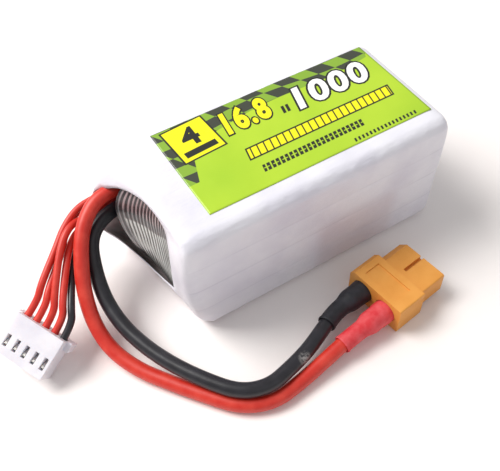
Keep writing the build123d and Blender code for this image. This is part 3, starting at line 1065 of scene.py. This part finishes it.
    def end_point(self, share: float, t: float) -> Vector:
        """Gives a point of the closed end, from the straight part at t 0 to the middle at t 1.

        Args:
            share: sides gone round.
            t: how far from the straight part.

        Returns:
            The point in millimetres.
        """
        start = self.body_point(self.end_start, share)
        _, normal = self.outline(share)
        swell = self.end_swell * hump(start.z, 25.0, 13.0)
        corner = Vector((self.end_face + swell, start.y, start.z)) - normal * 0.1
        middle = Vector((self.end_face + 0.35, 0.0, self.height / 2))
        point = rounded(start, corner, middle, t, self.end_hold)
        pucker = noise.noise(Vector((share * 7.0, 4.0, point.x * 0.1))) * 0.5 + 0.5
        ring = hump(t, 0.62, 0.22)
        slope, height = self.end_heel
        heel = slope * max(height - point.z, 0.0)
        return point - Vector((0.16 * pucker * ring + 0.06 * ring + heel, 0, 0))

    def skin(self, u: float, v: float) -> Vector:
        """Gives a point of the film at shares u round it and v along it.

        Args:
            u: the even share round it.
            v: the share along it, from the rim.

        Returns:
            The point in metres.
        """
        share = self.share(u)
        row = v * (self.mouth_rows + self.body_rows + self.end_rows)
        if row <= self.mouth_rows:
            point = self.mouth_point(share, row / self.mouth_rows)
        elif row <= self.mouth_rows + self.body_rows:
            part = (row - self.mouth_rows) / self.body_rows
            point = self.body_point(blend(self.mouth_start, self.end_start, part), share)
        else:
            point = self.end_point(share, (row - self.mouth_rows - self.body_rows) / self.end_rows)
        return point * MM

    def build(self) -> None:
        """Makes the sleeve in place of its CAD solid."""
        bm = shaped_sheet(self.around, self.mouth_rows + self.body_rows + self.end_rows, self.skin)
        face_outwards(bm, Vector((0, 0, self.height / 2 * MM)))
        piece = walled(placed(bm, "shrink_film_sleeve"), self.wall, inside=1)
        FILM.dress(piece)
        # the inner face takes the film's painted-shade copy
        piece.data.materials.append(SHADED_FILM_INSIDE.material())
        settled(piece, "shrink_sleeve")


@dataclass(frozen=True)
class Figure:
    """Plain digits that fill a box on the label."""

    name: str
    digits: str
    box: tuple[float, float, float, float]      # low x, low y, high x, high y
    bold: float = 0.036
    lean: float = 0.25
    spacing: float = 1.14

    def slab(self, spread: float) -> bpy.types.Mesh:
        """Makes the digits as a thin slab, their edges moved out by spread.

        Args:
            spread: how far, in font units.

        Returns:
            The mesh in font units.
        """
        text = bpy.data.curves.new(self.name, "FONT")
        text.body, text.offset, text.shear = self.digits, self.bold + spread, self.lean
        text.extrude, text.space_character, text.resolution_u = 0.01, self.spacing, 4
        return drawn(text)

    def fitted(self, spread: float) -> bpy.types.Mesh:
        """Makes the digits and stretches them to the box.

        Args:
            spread: how far their edges stand out past the fitted ones, in font units.

        Returns:
            The mesh in millimetres, lying at height 0.
        """
        plain, mesh = self.slab(0.0), self.slab(spread)
        low = [min(v.co[i] for v in plain.vertices) for i in (0, 1)]
        high = [max(v.co[i] for v in plain.vertices) for i in (0, 1)]
        x0, y0, x1, y1 = self.box
        scale = ((x1 - x0) / (high[0] - low[0]), (y1 - y0) / (high[1] - low[1]), 1.0)
        move = Matrix.Translation((x0 - low[0] * scale[0], y0 - low[1] * scale[1], 0))
        mesh.transform(move @ Matrix.Diagonal((*scale, 1.0)))
        bpy.data.meshes.remove(plain)
        return mesh


@dataclass
class TopLabel:
    """The printed sticker on the top face, with its plain figures."""

    sleeve: ShrinkSleeve
    lift: float = 0.03
    thickness: float = 0.1
    ink: float = 0.025
    raised: float = 0.045                 # level of the large figures, above the label
    edge: Span = (0.05, 0.012)            # spread and level of the dark edge under them
    plate_raised: float = 0.03
    columns: int = 120
    rows: int = 56
    figures: tuple[tuple[Figure, str], ...] = (
        (Figure("figure_voltage", "16.8", (-7.0, 5.5, 5.6, 13.1), 0.045, 0.2, 1.2), "f6ee12"),
        (Figure("figure_capacity", "1000", (11.2, 3.8, 32.8, 11.2)), "fbfbfb"),
    )
    plate: Figure = Figure("figure_cells", "4", (-17.0, 7.3, -12.6, 13.2), 0.03, 0.0)

    def height(self, x: float, y: float) -> float:
        """Gives the height of the label's face."""
        return self.sleeve.top(x, y) + self.lift + self.thickness

    def laid(self, figure: Figure, name: str, spread: float, level: float, tone: str) -> None:
        """Lays one figure on the label.

        Args:
            figure: the digits.
            name: the piece's name.
            spread: how far the edges stand out, in font units.
            level: the slab's middle above the label's face, in millimetres.
            tone: the ink's colour.
        """
        mesh = figure.fitted(spread)
        for vert in mesh.vertices:
            x, y, side = vert.co
            z = self.height(x, y) + level + math.copysign(self.ink / 2, side)
            vert.co = Vector((x, y, z)) * MM
        piece = bpy.data.objects.new(name, mesh)
        bpy.context.scene.collection.objects.link(piece)
        Ink(f"ink_{tone}", tone).dress(piece)
        settled(piece)

    def build(self) -> None:
        """Makes the label in place of its CAD solid, then its figures."""
        low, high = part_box("label")
        (x0, y0), (x1, y1) = (low / MM).xy, (high / MM).xy

        def face(u: float, v: float) -> Vector:
            """Gives a point of the label's face."""
            x, y = blend(x0, x1, u), blend(y0, y1, v)
            return Vector((x, y, self.height(x, y))) * MM

        bm = shaped_sheet(self.columns, self.rows, face)
        face_outwards(bm, Vector((0, 0, 0)))
        piece = walled(placed(bm, "top_label"), self.thickness)
        LABEL.dress(piece)
        settled(piece, "label")
        for figure, tone in self.figures:
            self.laid(figure, figure.name, 0.0, self.raised, tone)
            self.laid(figure, figure.name + "_edge", *self.edge, LABEL.ink)
        self.laid(self.plate, self.plate.name, 0.0, self.plate_raised, LABEL.ink)


@dataclass
class StrandTape:
    """Strapping tape round the stack, bowed out to the mouth, with its strands as ridges."""

    strand: float = 0.95
    ridge: float = 0.11
    turn_x: float = -26.0                 # where the tape leaves the top and bottom of the stack
    face_x: float = -30.4                 # x of the front on the side away from the leads
    bow: float = 5.2                      # how much further out it stands beside them
    bow_start: float = -6.0               # y where it starts to stand out
    bow_span: float = 14.0
    past: float = 0.9                     # how far it runs past its CAD solid, across
    wall: float = 0.22
    drop: float = 30.0                    # height of the corner that it rounds over the stack
    shoulder: float = 22.0                # height where the front turns in over the stack
    foot: float = 1.6                     # height where it turns in under the stack
    narrow: float = 1.8                   # how much narrower the tape is at its foot
    narrow_top: float = 16.0              # height where it starts to narrow
    narrow_span: float = 14.0
    columns: int = 230
    rows: int = 120

    def across(self, y: float) -> float:
        """Gives how far across the bow a place lies, 0 at its start and 1 at its full depth."""
        return (y - self.bow_start) / self.bow_span

    def front(self, y: float, z: float) -> float:
        """Gives how far out the tape's front face lies at a place across and a height.

        Args:
            y: the place across.
            z: the height.

        Returns:
            The x of the face.
        """
        bow = clamped(self.across(y), 0.0, 1.1) ** 2.2
        under = max(self.shoulder - z, 0.0) / 20.0
        inward = 0.4 + 4.3 * bow + 0.22 * max(self.bow_start - y, 0.0)
        return self.face_x - self.bow * bow + inward * under ** 2

    def build(self) -> None:
        """Makes the tape in place of its CAD solid."""
        low, high = (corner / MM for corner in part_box("filament_tape"))

        def face(u: float, v: float) -> Vector:
            """Gives a point of the tape, across it by u and along it by v.

            Args:
                u: the share across.
                v: the share along, from the top.

            Returns:
                The point in metres.
            """
            y, leg = blend(low.y, high.y + self.past, u), v * 5.0
            top = Vector((self.turn_x, y, high.z))
            shoulder = Vector((self.front(y, self.shoulder), y, self.shoulder))
            foot = Vector((self.front(y, self.foot), y, self.foot))
            base = Vector((self.turn_x, y, low.z))
            drop = self.drop - clamped(self.across(y))
            if leg < 1.0:
                spot = Vector((blend(high.x, self.turn_x, leg), y, high.z))
            elif leg < 2.0:
                spot = rounded(top, Vector((shoulder.x, y, drop)), shoulder, leg - 1.0, 1.0)
            elif leg < 3.0:
                z = blend(self.shoulder, self.foot, leg - 2.0)
                spot = Vector((self.front(y, z), y, z))
            elif leg < 4.0:
                spot = rounded(foot, Vector((foot.x + 0.3, y, low.z)), base, leg - 3.0, 2.0)
            else:
                spot = Vector((blend(self.turn_x, high.x, leg - 4.0), y, low.z))
            upright = 1.4 < leg < 3.6
            out = Vector((-1.0, 0.0, 0.0) if upright else (0.0, 0.0, math.copysign(1.0, 2.5 - leg)))
            wander = 0.3 * noise.noise(Vector((y * 0.4, spot.z * 0.08, 2.0)))
            hollow = self.ridge * (1 - abs(math.cos(math.pi * (y + wander) / self.strand)))
            spot.y -= self.narrow * u * clamped((self.narrow_top - spot.z) / self.narrow_span)
            return (spot - out * hollow) * MM

        bm = shaped_sheet(self.columns, self.rows, face)
        face_outwards(bm, Vector((0, 0, (low.z + high.z) / 2 * MM)))
        piece = walled(placed(bm, "strand_tape"), self.wall)
        GlassTape("filament_tape").dress(piece)
        settled(piece, "filament_tape")


# ---- cords -------------------------------------------------------------------


@dataclass
class Cord:
    """A free wire: one smooth line through its route's corner points."""

    name: str
    route: Sequence[Point]
    diameter: float
    length: float
    finish: Finish
    slot: str
    steps: int = 16                       # drawn points to each route point
    sides: int = 7                        # extra edges to each quarter of the section
    piece: bpy.types.Object = field(init=False)

    def curve(self, bevel: float) -> bpy.types.Curve:
        """Makes the route's curve, with a round section of radius bevel in metres.

        Args:
            bevel: the radius, or 0 for a bare line.

        Returns:
            The curve.
        """
        curve = bpy.data.curves.new(self.name, "CURVE")
        curve.dimensions = "3D"
        spline = curve.splines.new("NURBS")
        spline.points.add(len(self.route) - 1)
        for point, place in zip(spline.points, self.route):
            point.co = (*(Vector(place) * MM), 1.0)
        spline.order_u = 3
        spline.use_endpoint_u = True
        curve.resolution_u = self.steps
        curve.bevel_depth = bevel
        curve.bevel_resolution = self.sides
        curve.use_fill_caps = bevel > 0
        return curve

    def line(self) -> list[Vector]:
        """Gives the smooth line's own points, in metres."""
        return [v.co.copy() for v in drawn(self.curve(0.0)).vertices]

    def build(self) -> None:
        """Makes the wire in place of its CAD solid."""
        self.piece = bpy.data.objects.new(self.name + "_cord", self.curve(self.diameter / 2 * MM))
        bpy.context.scene.collection.objects.link(self.piece)
        self.finish.dress(self.piece)
        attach(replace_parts(self.piece, self.name), BODY)
        log.info("%s: %.1f mm of wire", self.piece.name, self.length)

    def declare(self, with_pieces: Sequence[bpy.types.Object]) -> None:
        """Works out the wire's diameter in metres and does nothing with it.

        Args:
            with_pieces: not used.
        """
        self.diameter * MM


class Pole(Enum):
    """The two poles of the power lead."""

    POSITIVE = "positive"
    NEGATIVE = "negative"

    @property
    def insulation(self) -> Silicone:
        """The lead's silicone."""
        return RED_SILICONE if self is Pole.POSITIVE else BLACK_SILICONE

    @property
    def tube(self) -> ShrinkTube:
        """The shrink tube's finish.

        Returns:
            The finish.
        """
        if self is Pole.POSITIVE:
            return ShrinkTube("red_shrink")
        return ShrinkTube("black_shrink", "222227", "2e2e35")

    @property
    def colour(self) -> str:
        """The colour word in the lead's slot name."""
        return "red" if self is Pole.POSITIVE else "black"


@dataclass
class PowerLead:
    """Two thick leads to the flat two-pole connector on the floor, with their shrink tubes."""

    diameter: float = 3.5
    turn: float = 8.0                     # degrees of the connector about Z
    housing_face: float = 7.1
    seated: float = 2.0                   # tube inside the housing's well
    tube_around: int = 48
    tube_rows: int = 90
    tube_wall: float = 0.3
    tube_lip: float = 2.12                # outer radius on the lead
    tube_cup: float = 0.62                # how much more it is over the solder cup
    tube_length: dict[Pole, float] = field(
        default_factory=lambda: {Pole.POSITIVE: 15.0, Pole.NEGATIVE: 15.3})
    lengths: dict[Pole, float] = field(
        default_factory=lambda: {Pole.POSITIVE: 116.6, Pole.NEGATIVE: 105.7})
    routes: dict[Pole, tuple[Point, ...]] = field(default_factory=lambda: {
        Pole.POSITIVE: (
            (-26.0, 13.1, 23.6), (-31.8, 13.1, 23.6), (-38.6, 12.8, 23.6), (-44.0, 9.4, 20.8),
            (-47.2, 4.8, 17.0), (-49.8, -0.2, 12.2), (-51.1, -5.9, 7.4), (-50.4, -12.4, 3.6),
            (-47.2, -19.4, 2.0), (-42.4, -26.2, 1.8), (-37.4, -32.8, 1.8), (-32.2, -39.2, 1.8),
            (-25.4, -42.1, 1.8), (-18.0, -41.2, 1.9), (-11.0, -40.1, 2.7), (-5.0, -39.1, 3.6),
            (-0.6, -38.65, 4.05), (2.65, -38.2, 4.05)),
        Pole.NEGATIVE: (
            (-26.0, 12.8, 17.8), (-31.8, 12.8, 17.8), (-38.2, 12.0, 18.0), (-43.4, 8.8, 16.2),
            (-45.5, 3.0, 12.5), (-46.5, -3.3, 9.2), (-45.9, -10.0, 7.0), (-43.8, -17.1, 5.8),
            (-40.5, -24.2, 5.1), (-36.2, -31.2, 4.9), (-31.4, -37.5, 4.9), (-25.2, -39.7, 4.7),
            (-19.0, -38.3, 4.4), (-13.6, -36.7, 4.2), (-9.2, -34.8, 4.1), (-5.2, -32.9, 4.05),
            (-1.5, -31.5, 4.05), (1.65, -31.0, 4.05)),
    })

    def tube_radius(self, gone: float, whole: float) -> float:
        """Gives the shrink tube's outer radius.

        Args:
            gone: millimetres from its end on the lead.
            whole: its length.

        Returns:
            The radius in millimetres.
        """
        lip = self.tube_lip + 0.1 * hump(gone, 0.35, 0.3)
        cup = 0.5 - 0.5 * math.cos(math.pi * clamped((gone - whole * 0.38) / (whole * 0.2)))
        flare = 0.14 * hump(gone, whole - 2.6, 1.3)
        return lip + self.tube_cup * cup + flare

    def tube(self, pole: Pole, lead: Cord) -> bpy.types.Object:
        """Makes one pole's shrink tube along its lead and into the housing.

        Args:
            pole: which pole.
            lead: its lead.

        Returns:
            The tube.
        """
        points = lead.line()
        ahead = Vector((math.cos(math.radians(self.turn)), math.sin(math.radians(self.turn)), 0))
        stretch = self.housing_face + self.seated - points[-1].x / MM
        path = Path(points + [points[-1] + ahead * stretch * MM])
        whole = self.tube_length[pole]
        first = path.length - whole * MM

        def skin(u: float, v: float) -> Vector:
            """Gives a point of the tube, round it by u and along it by v.

            Args:
                u: the share round it.
                v: the share along it.

            Returns:
                The point in metres.
            """
            centre, along = path.at(first + v * whole * MM)
            across = along.cross(Vector((0, 0, 1))).normalized()
            angle = 2 * math.pi * u
            out = across * math.cos(angle) + across.cross(along) * math.sin(angle)
            around = Vector((math.cos(angle), math.sin(angle), v * 5 + len(pole.value)))
            dent = 0.05 * noise.noise(around)
            return centre + out * (self.tube_radius(v * whole, whole) + dent) * MM

        bm = shaped_sheet(self.tube_around, self.tube_rows, skin)
        face_outwards(bm, path.at(path.length - whole / 2 * MM)[0])
        piece = walled(placed(bm, f"{pole.value}_shrink_tube"), self.tube_wall)
        pole.tube.dress(piece)
        return settled(piece, f"{pole.value}_shrink")

    def build(self) -> None:
        """Makes both leads and their tubes, and dresses the connector."""
        housing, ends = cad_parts["power_housing"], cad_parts["conductor_ends"]
        AMBER_NYLON.dress(housing)
        COPPER.dress(ends)
        for pole in Pole:
            lead = Cord(f"{pole.value}_lead", self.routes[pole], self.diameter, self.lengths[pole],
                        pole.insulation, f"{pole.colour}_silicone")
            lead.build()
            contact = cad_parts[f"{pole.value}_contact"]
            GOLD.dress(contact)
            lead.declare([self.tube(pole, lead), housing, contact])


@dataclass
class BalanceLead:
    """Five thin wires that fan out to the five-way housing."""

    diameter: float = 1.7
    ways: int = 5
    pitch: float = 2.5
    half_width: float = 6.2
    depth: float = 9.8
    thickness: float = 5.75
    axis_height: float = 2.9
    cavity_half: float = 0.95
    pin_half: float = 0.4
    front_wall: float = 1.0
    cut_past: float = 1.0                 # how far a cut runs past the face that it opens
    ear: Point = (2.2, 1.2, 3.4)          # length, width past the side and thickness
    window: Span = (5.0, 7.9)
    window_width: float = 0.98
    lance_width: float = 0.6
    lance_sheet: float = 0.2
    lance_root: tuple[Span, ...] = ((0.25, 0.65), (0.8, 0.95))  # from the window's start and axis
    lance_tip: tuple[Span, ...] = ((-1.0, -0.55), (-0.55, -0.5), (-0.3, -0.95))  # its end and top
    soften: float = 0.16
    position: Point = (-59.66, -1.32, 6.16)
    turns: Point = (201.05, 28.45, -14.82)    # about Z, then the dip, then the roll
    lengths: tuple[float, ...] = (45.5, 46.0, 46.4, 46.2, 47.7)
    routes: tuple[tuple[Point, ...], ...] = (
        ((-26.0, 15.7, 22.4), (-32.4, 15.7, 22.2), (-38.0, 15.5, 21.0), (-42.7, 15.4, 20.5),
         (-47.4, 13.1, 18.9), (-51.3, 9.7, 16.9), (-57.6, 4.7, 13.9), (-59.8, 2.8, 11.5),
         (-64.2, 1.3, 9.0)),
        ((-26.0, 15.7, 20.4), (-32.4, 15.7, 20.2), (-38.0, 15.6, 19.0), (-43.2, 16.4, 18.4),
         (-47.2, 13.6, 17.2), (-50.5, 9.5, 14.8), (-56.8, 3.0, 13.0), (-58.8, 0.8, 10.9),
         (-63.0, -0.8, 8.5)),
        ((-26.0, 15.7, 18.4), (-32.4, 15.6, 18.2), (-37.6, 14.9, 17.0), (-42.3, 13.8, 18.0),
         (-46.4, 11.6, 20.2), (-50.5, 8.3, 18.3), (-56.1, 1.0, 13.1), (-57.7, -1.4, 10.3),
         (-61.9, -3.0, 7.9)),
        ((-26.0, 15.7, 16.4), (-32.4, 15.7, 16.1), (-37.6, 15.2, 15.0), (-42.4, 13.6, 15.8),
         (-46.0, 11.2, 17.2), (-49.4, 7.5, 16.5), (-55.2, -0.9, 12.1), (-56.5, -3.5, 9.8),
         (-60.7, -5.1, 7.3)),
        ((-26.0, 15.7, 14.4), (-32.4, 15.7, 14.1), (-38.0, 15.7, 13.0), (-43.0, 15.2, 14.2),
         (-46.3, 11.8, 14.9), (-49.1, 7.1, 13.8), (-54.1, -2.8, 11.3), (-55.4, -5.5, 9.3),
         (-59.6, -7.3, 6.8)),
    )

    def places(self) -> list[float]:
        """Gives the place of each way across the housing."""
        return [(way - (self.ways - 1) / 2) * self.pitch for way in range(self.ways)]

    def seated(self, bm: bmesh.types.BMesh, name: str, finish: Finish) -> bpy.types.Object:
        """Puts a mesh that was made in the housing's own axes at the housing's place.

        Args:
            bm: the mesh, in millimetres.
            name: the piece's name.
            finish: its finish.

        Returns:
            The piece.
        """
        turn, dip, roll = (math.radians(angle) for angle in self.turns)
        pose = Matrix.Translation(self.position) @ Matrix.Rotation(turn, 4, "Z") \
            @ Matrix.Rotation(dip, 4, "Y") @ Matrix.Rotation(roll, 4, "X")
        bm.transform(Matrix.Scale(MM, 4) @ pose)
        bmesh.ops.recalc_face_normals(bm, faces=bm.faces)
        piece = placed(bm, name)
        piece.data.shade_flat()
        finish.dress(piece)
        return piece

    def housing(self) -> bpy.types.Object:
        """Makes the housing in place of its CAD solid, with windows over its terminals.

        Returns:
            The housing.
        """
        half, axis, past = self.half_width, self.axis_height, self.cut_past
        length, width, thickness = self.ear
        solids = [((0.0, self.depth), (-half, half), (0.0, self.thickness)),
                  ((0.0, length), (-half - width, half + width), (0.0, thickness))]
        cuts = []
        for y in self.places():
            cavity, pin = ([(middle - side, middle + side) for middle in (y, axis)]
                           for side in (self.cavity_half, self.pin_half))
            window = (y - self.window_width / 2, y + self.window_width / 2)
            cuts += [((-past, self.depth - self.front_wall), *cavity),
                     ((self.depth - 1.5 * self.front_wall, self.depth + past), *pin),
                     (self.window, window, (axis, self.thickness + past))]
        bm = carved(solids, cuts, self.soften)
        piece = self.seated(bm, "balance_connector", WHITE_NYLON)
        return settled(piece, "balance_housing")

    def lances(self) -> bpy.types.Object:
        """Makes the sprung tongue of each terminal, which shows in its window, in a brightened tin
        that paints a glint.

        Returns:
            The tongues, as one piece.
        """
        start, end = self.window
        line = [(start + along, self.axis_height + up) for along, up in self.lance_root] \
            + [(end + along, self.thickness + up) for along, up in self.lance_tip]
        half, sheet = self.lance_width / 2, self.lance_sheet
        bm = bmesh.new()
        for y in self.places():
            rows = [[bm.verts.new((u, y + side, w + lift)) for side, lift in (
                (-half, 0.0), (half, 0.0), (half, sheet), (-half, sheet))] for u, w in line]
            for low, high in zip(rows, rows[1:]):
                for a in range(4):
                    bm.faces.new((low[a], low[(a + 1) % 4], high[(a + 1) % 4], high[a]))
            bm.faces.new(rows[0])
            bm.faces.new(rows[-1])
        return settled(self.seated(bm, "terminal_lances", GLINT_TIN))

    def build(self) -> None:
        """Makes the wires, the housing and its tongues, and dresses the terminals."""
        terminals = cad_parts["balance_terminals"]
        TIN.dress(terminals)
        fittings = [self.housing(), self.lances(), terminals]
        for way, (route, length) in enumerate(zip(self.routes, self.lengths), start=1):
            last = way == len(self.routes)
            wire = Cord(f"balance_wire_{way}", route, self.diameter, length,
                        BLACK_SILICONE if last else RED_SILICONE,
                        "black_silicone" if last else "red_silicone")
            wire.build()
            wire.declare(fittings)


# ---- stack -------------------------------------------------------------------


@dataclass
class CellStack:
    """The cells, boards and pads inside the sleeve, whose CAD solids are kept and dressed."""

    finishes: dict[str, Finish] = field(default_factory=lambda: {
        "pouch_cell": Sheet("pouch_foil", "c9ccd2", "b7bac2", 2.5, 0.02, 0.32, 0.85),
        "cell_pads": Sheet("pad_foam", "d4d0c6", "b9b4a6", 2.0, 0.12, 0.85),
        "positive_tabs": Plating("aluminium_tab", "cfd0d2", "a9aaad", 0.34),
        "negative_tabs": Plating("nickel_tab", "bdb9b0", "97938a", 0.3),
        "tab_films": Sheet("seal_film", "4a4a50", "5d5d64", 1.5, 0.02, 0.4),
        "balance_board": Sheet("board_laminate", "1f5a37", "2a6d45", 3.0, 0.03, 0.42),
        "solder_joints": SOLDER,
        "lower_guard": Sheet("guard_sheet", "c9b37c", "b39c66", 1.6, 0.05, 0.6),
        "upper_guard": Sheet("guard_sheet", "c9b37c", "b39c66", 1.6, 0.05, 0.6),
        "end_pad": Sheet("pad_foam", "d4d0c6", "b9b4a6", 2.0, 0.12, 0.85),
        "front_insulator": Sheet("insulator_board", "2b2828", "3a3535", 1.2, 0.06, 0.6),
    })

    def build(self) -> None:
        """Dresses each node that shows or lies inside."""
        for name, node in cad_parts.items():
            for start, finish in self.finishes.items():
                if name.startswith(start):
                    finish.dress(node)
                    log.info("%s: dressed as %s", name, finish.name)


# ---- studio ------------------------------------------------------------------


@dataclass(frozen=True)
class Lamp:
    """One soft square light that faces the pack."""

    name: str
    place: Point                          # metres
    side: float
    power: float                          # watts
    colour: Colour

    def hang(self) -> None:
        """Puts the light in the scene."""
        data = bpy.data.lights.new(self.name, "AREA")
        data.size, data.energy, data.color = self.side, self.power, self.colour
        light = bpy.data.objects.new(self.name, data)
        light.location = self.place
        light.rotation_mode = "QUATERNION"
        light.rotation_quaternion = (-Vector(self.place)).to_track_quat("-Z", "Y")
        bpy.context.scene.collection.objects.link(light)


@dataclass
class Studio:
    """A pale floor, soft lights and the camera."""

    focal: float = 51.63
    azimuth: float = -29.58
    elevation: float = 51.85
    roll: float = -2.43
    target: Point = (-5.49, 0.86, 0.0)
    distance: float = 185.19
    sensor: float = 36.0
    clip: Span = (0.01, 10.0)             # metres
    sky: float = 0.44
    floor_side: float = 3.0
    lamps: tuple[Lamp, ...] = (
        Lamp("key", (-0.36, 0.34, 0.62), 0.42, 7.0, (1.0, 0.985, 0.96)),
        Lamp("fill", (0.1, -0.5, 0.5), 0.6, 0.3, (0.96, 0.97, 1.0)),
    )

    def camera(self) -> None:
        """Sets the camera at its angle over the pack."""
        a, e, roll = (math.radians(angle) for angle in (self.azimuth, self.elevation, self.roll))
        back = Vector((math.sin(a) * math.cos(e), -math.cos(a) * math.cos(e), math.sin(e)))
        right = Vector((math.cos(a), math.sin(a), 0))
        up = back.cross(right)
        axes = (right * math.cos(roll) + up * math.sin(roll),
                up * math.cos(roll) - right * math.sin(roll), back)
        data = bpy.data.cameras.new("camera")
        data.lens, data.sensor_width = self.focal, self.sensor
        data.clip_start, data.clip_end = self.clip
        camera = bpy.data.objects.new("camera", data)
        stand = (Vector(self.target) + back * self.distance) * MM
        camera.matrix_world = Matrix.Translation(stand) @ Matrix(axes).transposed().to_4x4()
        bpy.context.scene.collection.objects.link(camera)
        bpy.context.scene.camera = camera

    def floor(self) -> None:
        """Lays the floor."""
        bm = bmesh.new()
        bmesh.ops.create_grid(bm, x_segments=8, y_segments=8, size=self.floor_side / 2)
        floor = placed(bm, "floor")
        r = Recipe("floor_paper")
        place = r.place()
        tooth = r.noise(place, 0.2, 3.0)
        colour = r.mix(tooth, hue("fbf6f4"), hue("f9f3f1"))
        r.close(Base_Color=colour, Roughness=0.8, Normal=r.bump(tooth, 0.01),
                Specular_IOR_Level=0.1)
        floor.data.materials.append(r.material)

    def build(self) -> None:
        """Sets the camera, the floor, the sky and the lights."""
        self.camera()
        self.floor()
        world = bpy.data.worlds.new("sky")
        world.use_nodes = True
        world.node_tree.nodes["Background"].inputs["Color"].default_value = (1.0, 1.0, 1.0, 1.0)
        world.node_tree.nodes["Background"].inputs["Strength"].default_value = self.sky
        bpy.context.scene.world = world
        bpy.context.scene.view_settings.view_transform = "Standard"
        for lamp in self.lamps:
            lamp.hang()


def main() -> None:
    """Builds the pack's pieces in order."""
    logging.basicConfig(level=logging.INFO, format="%(name)s: %(message)s")
    Studio().build()
    PowerLead().build()
    BalanceLead().build()
    sleeve = ShrinkSleeve()
    sleeve.build()
    TopLabel(sleeve).build()
    StrandTape().build()
    CellStack().build()


if __name__ == "__main__":
    main()
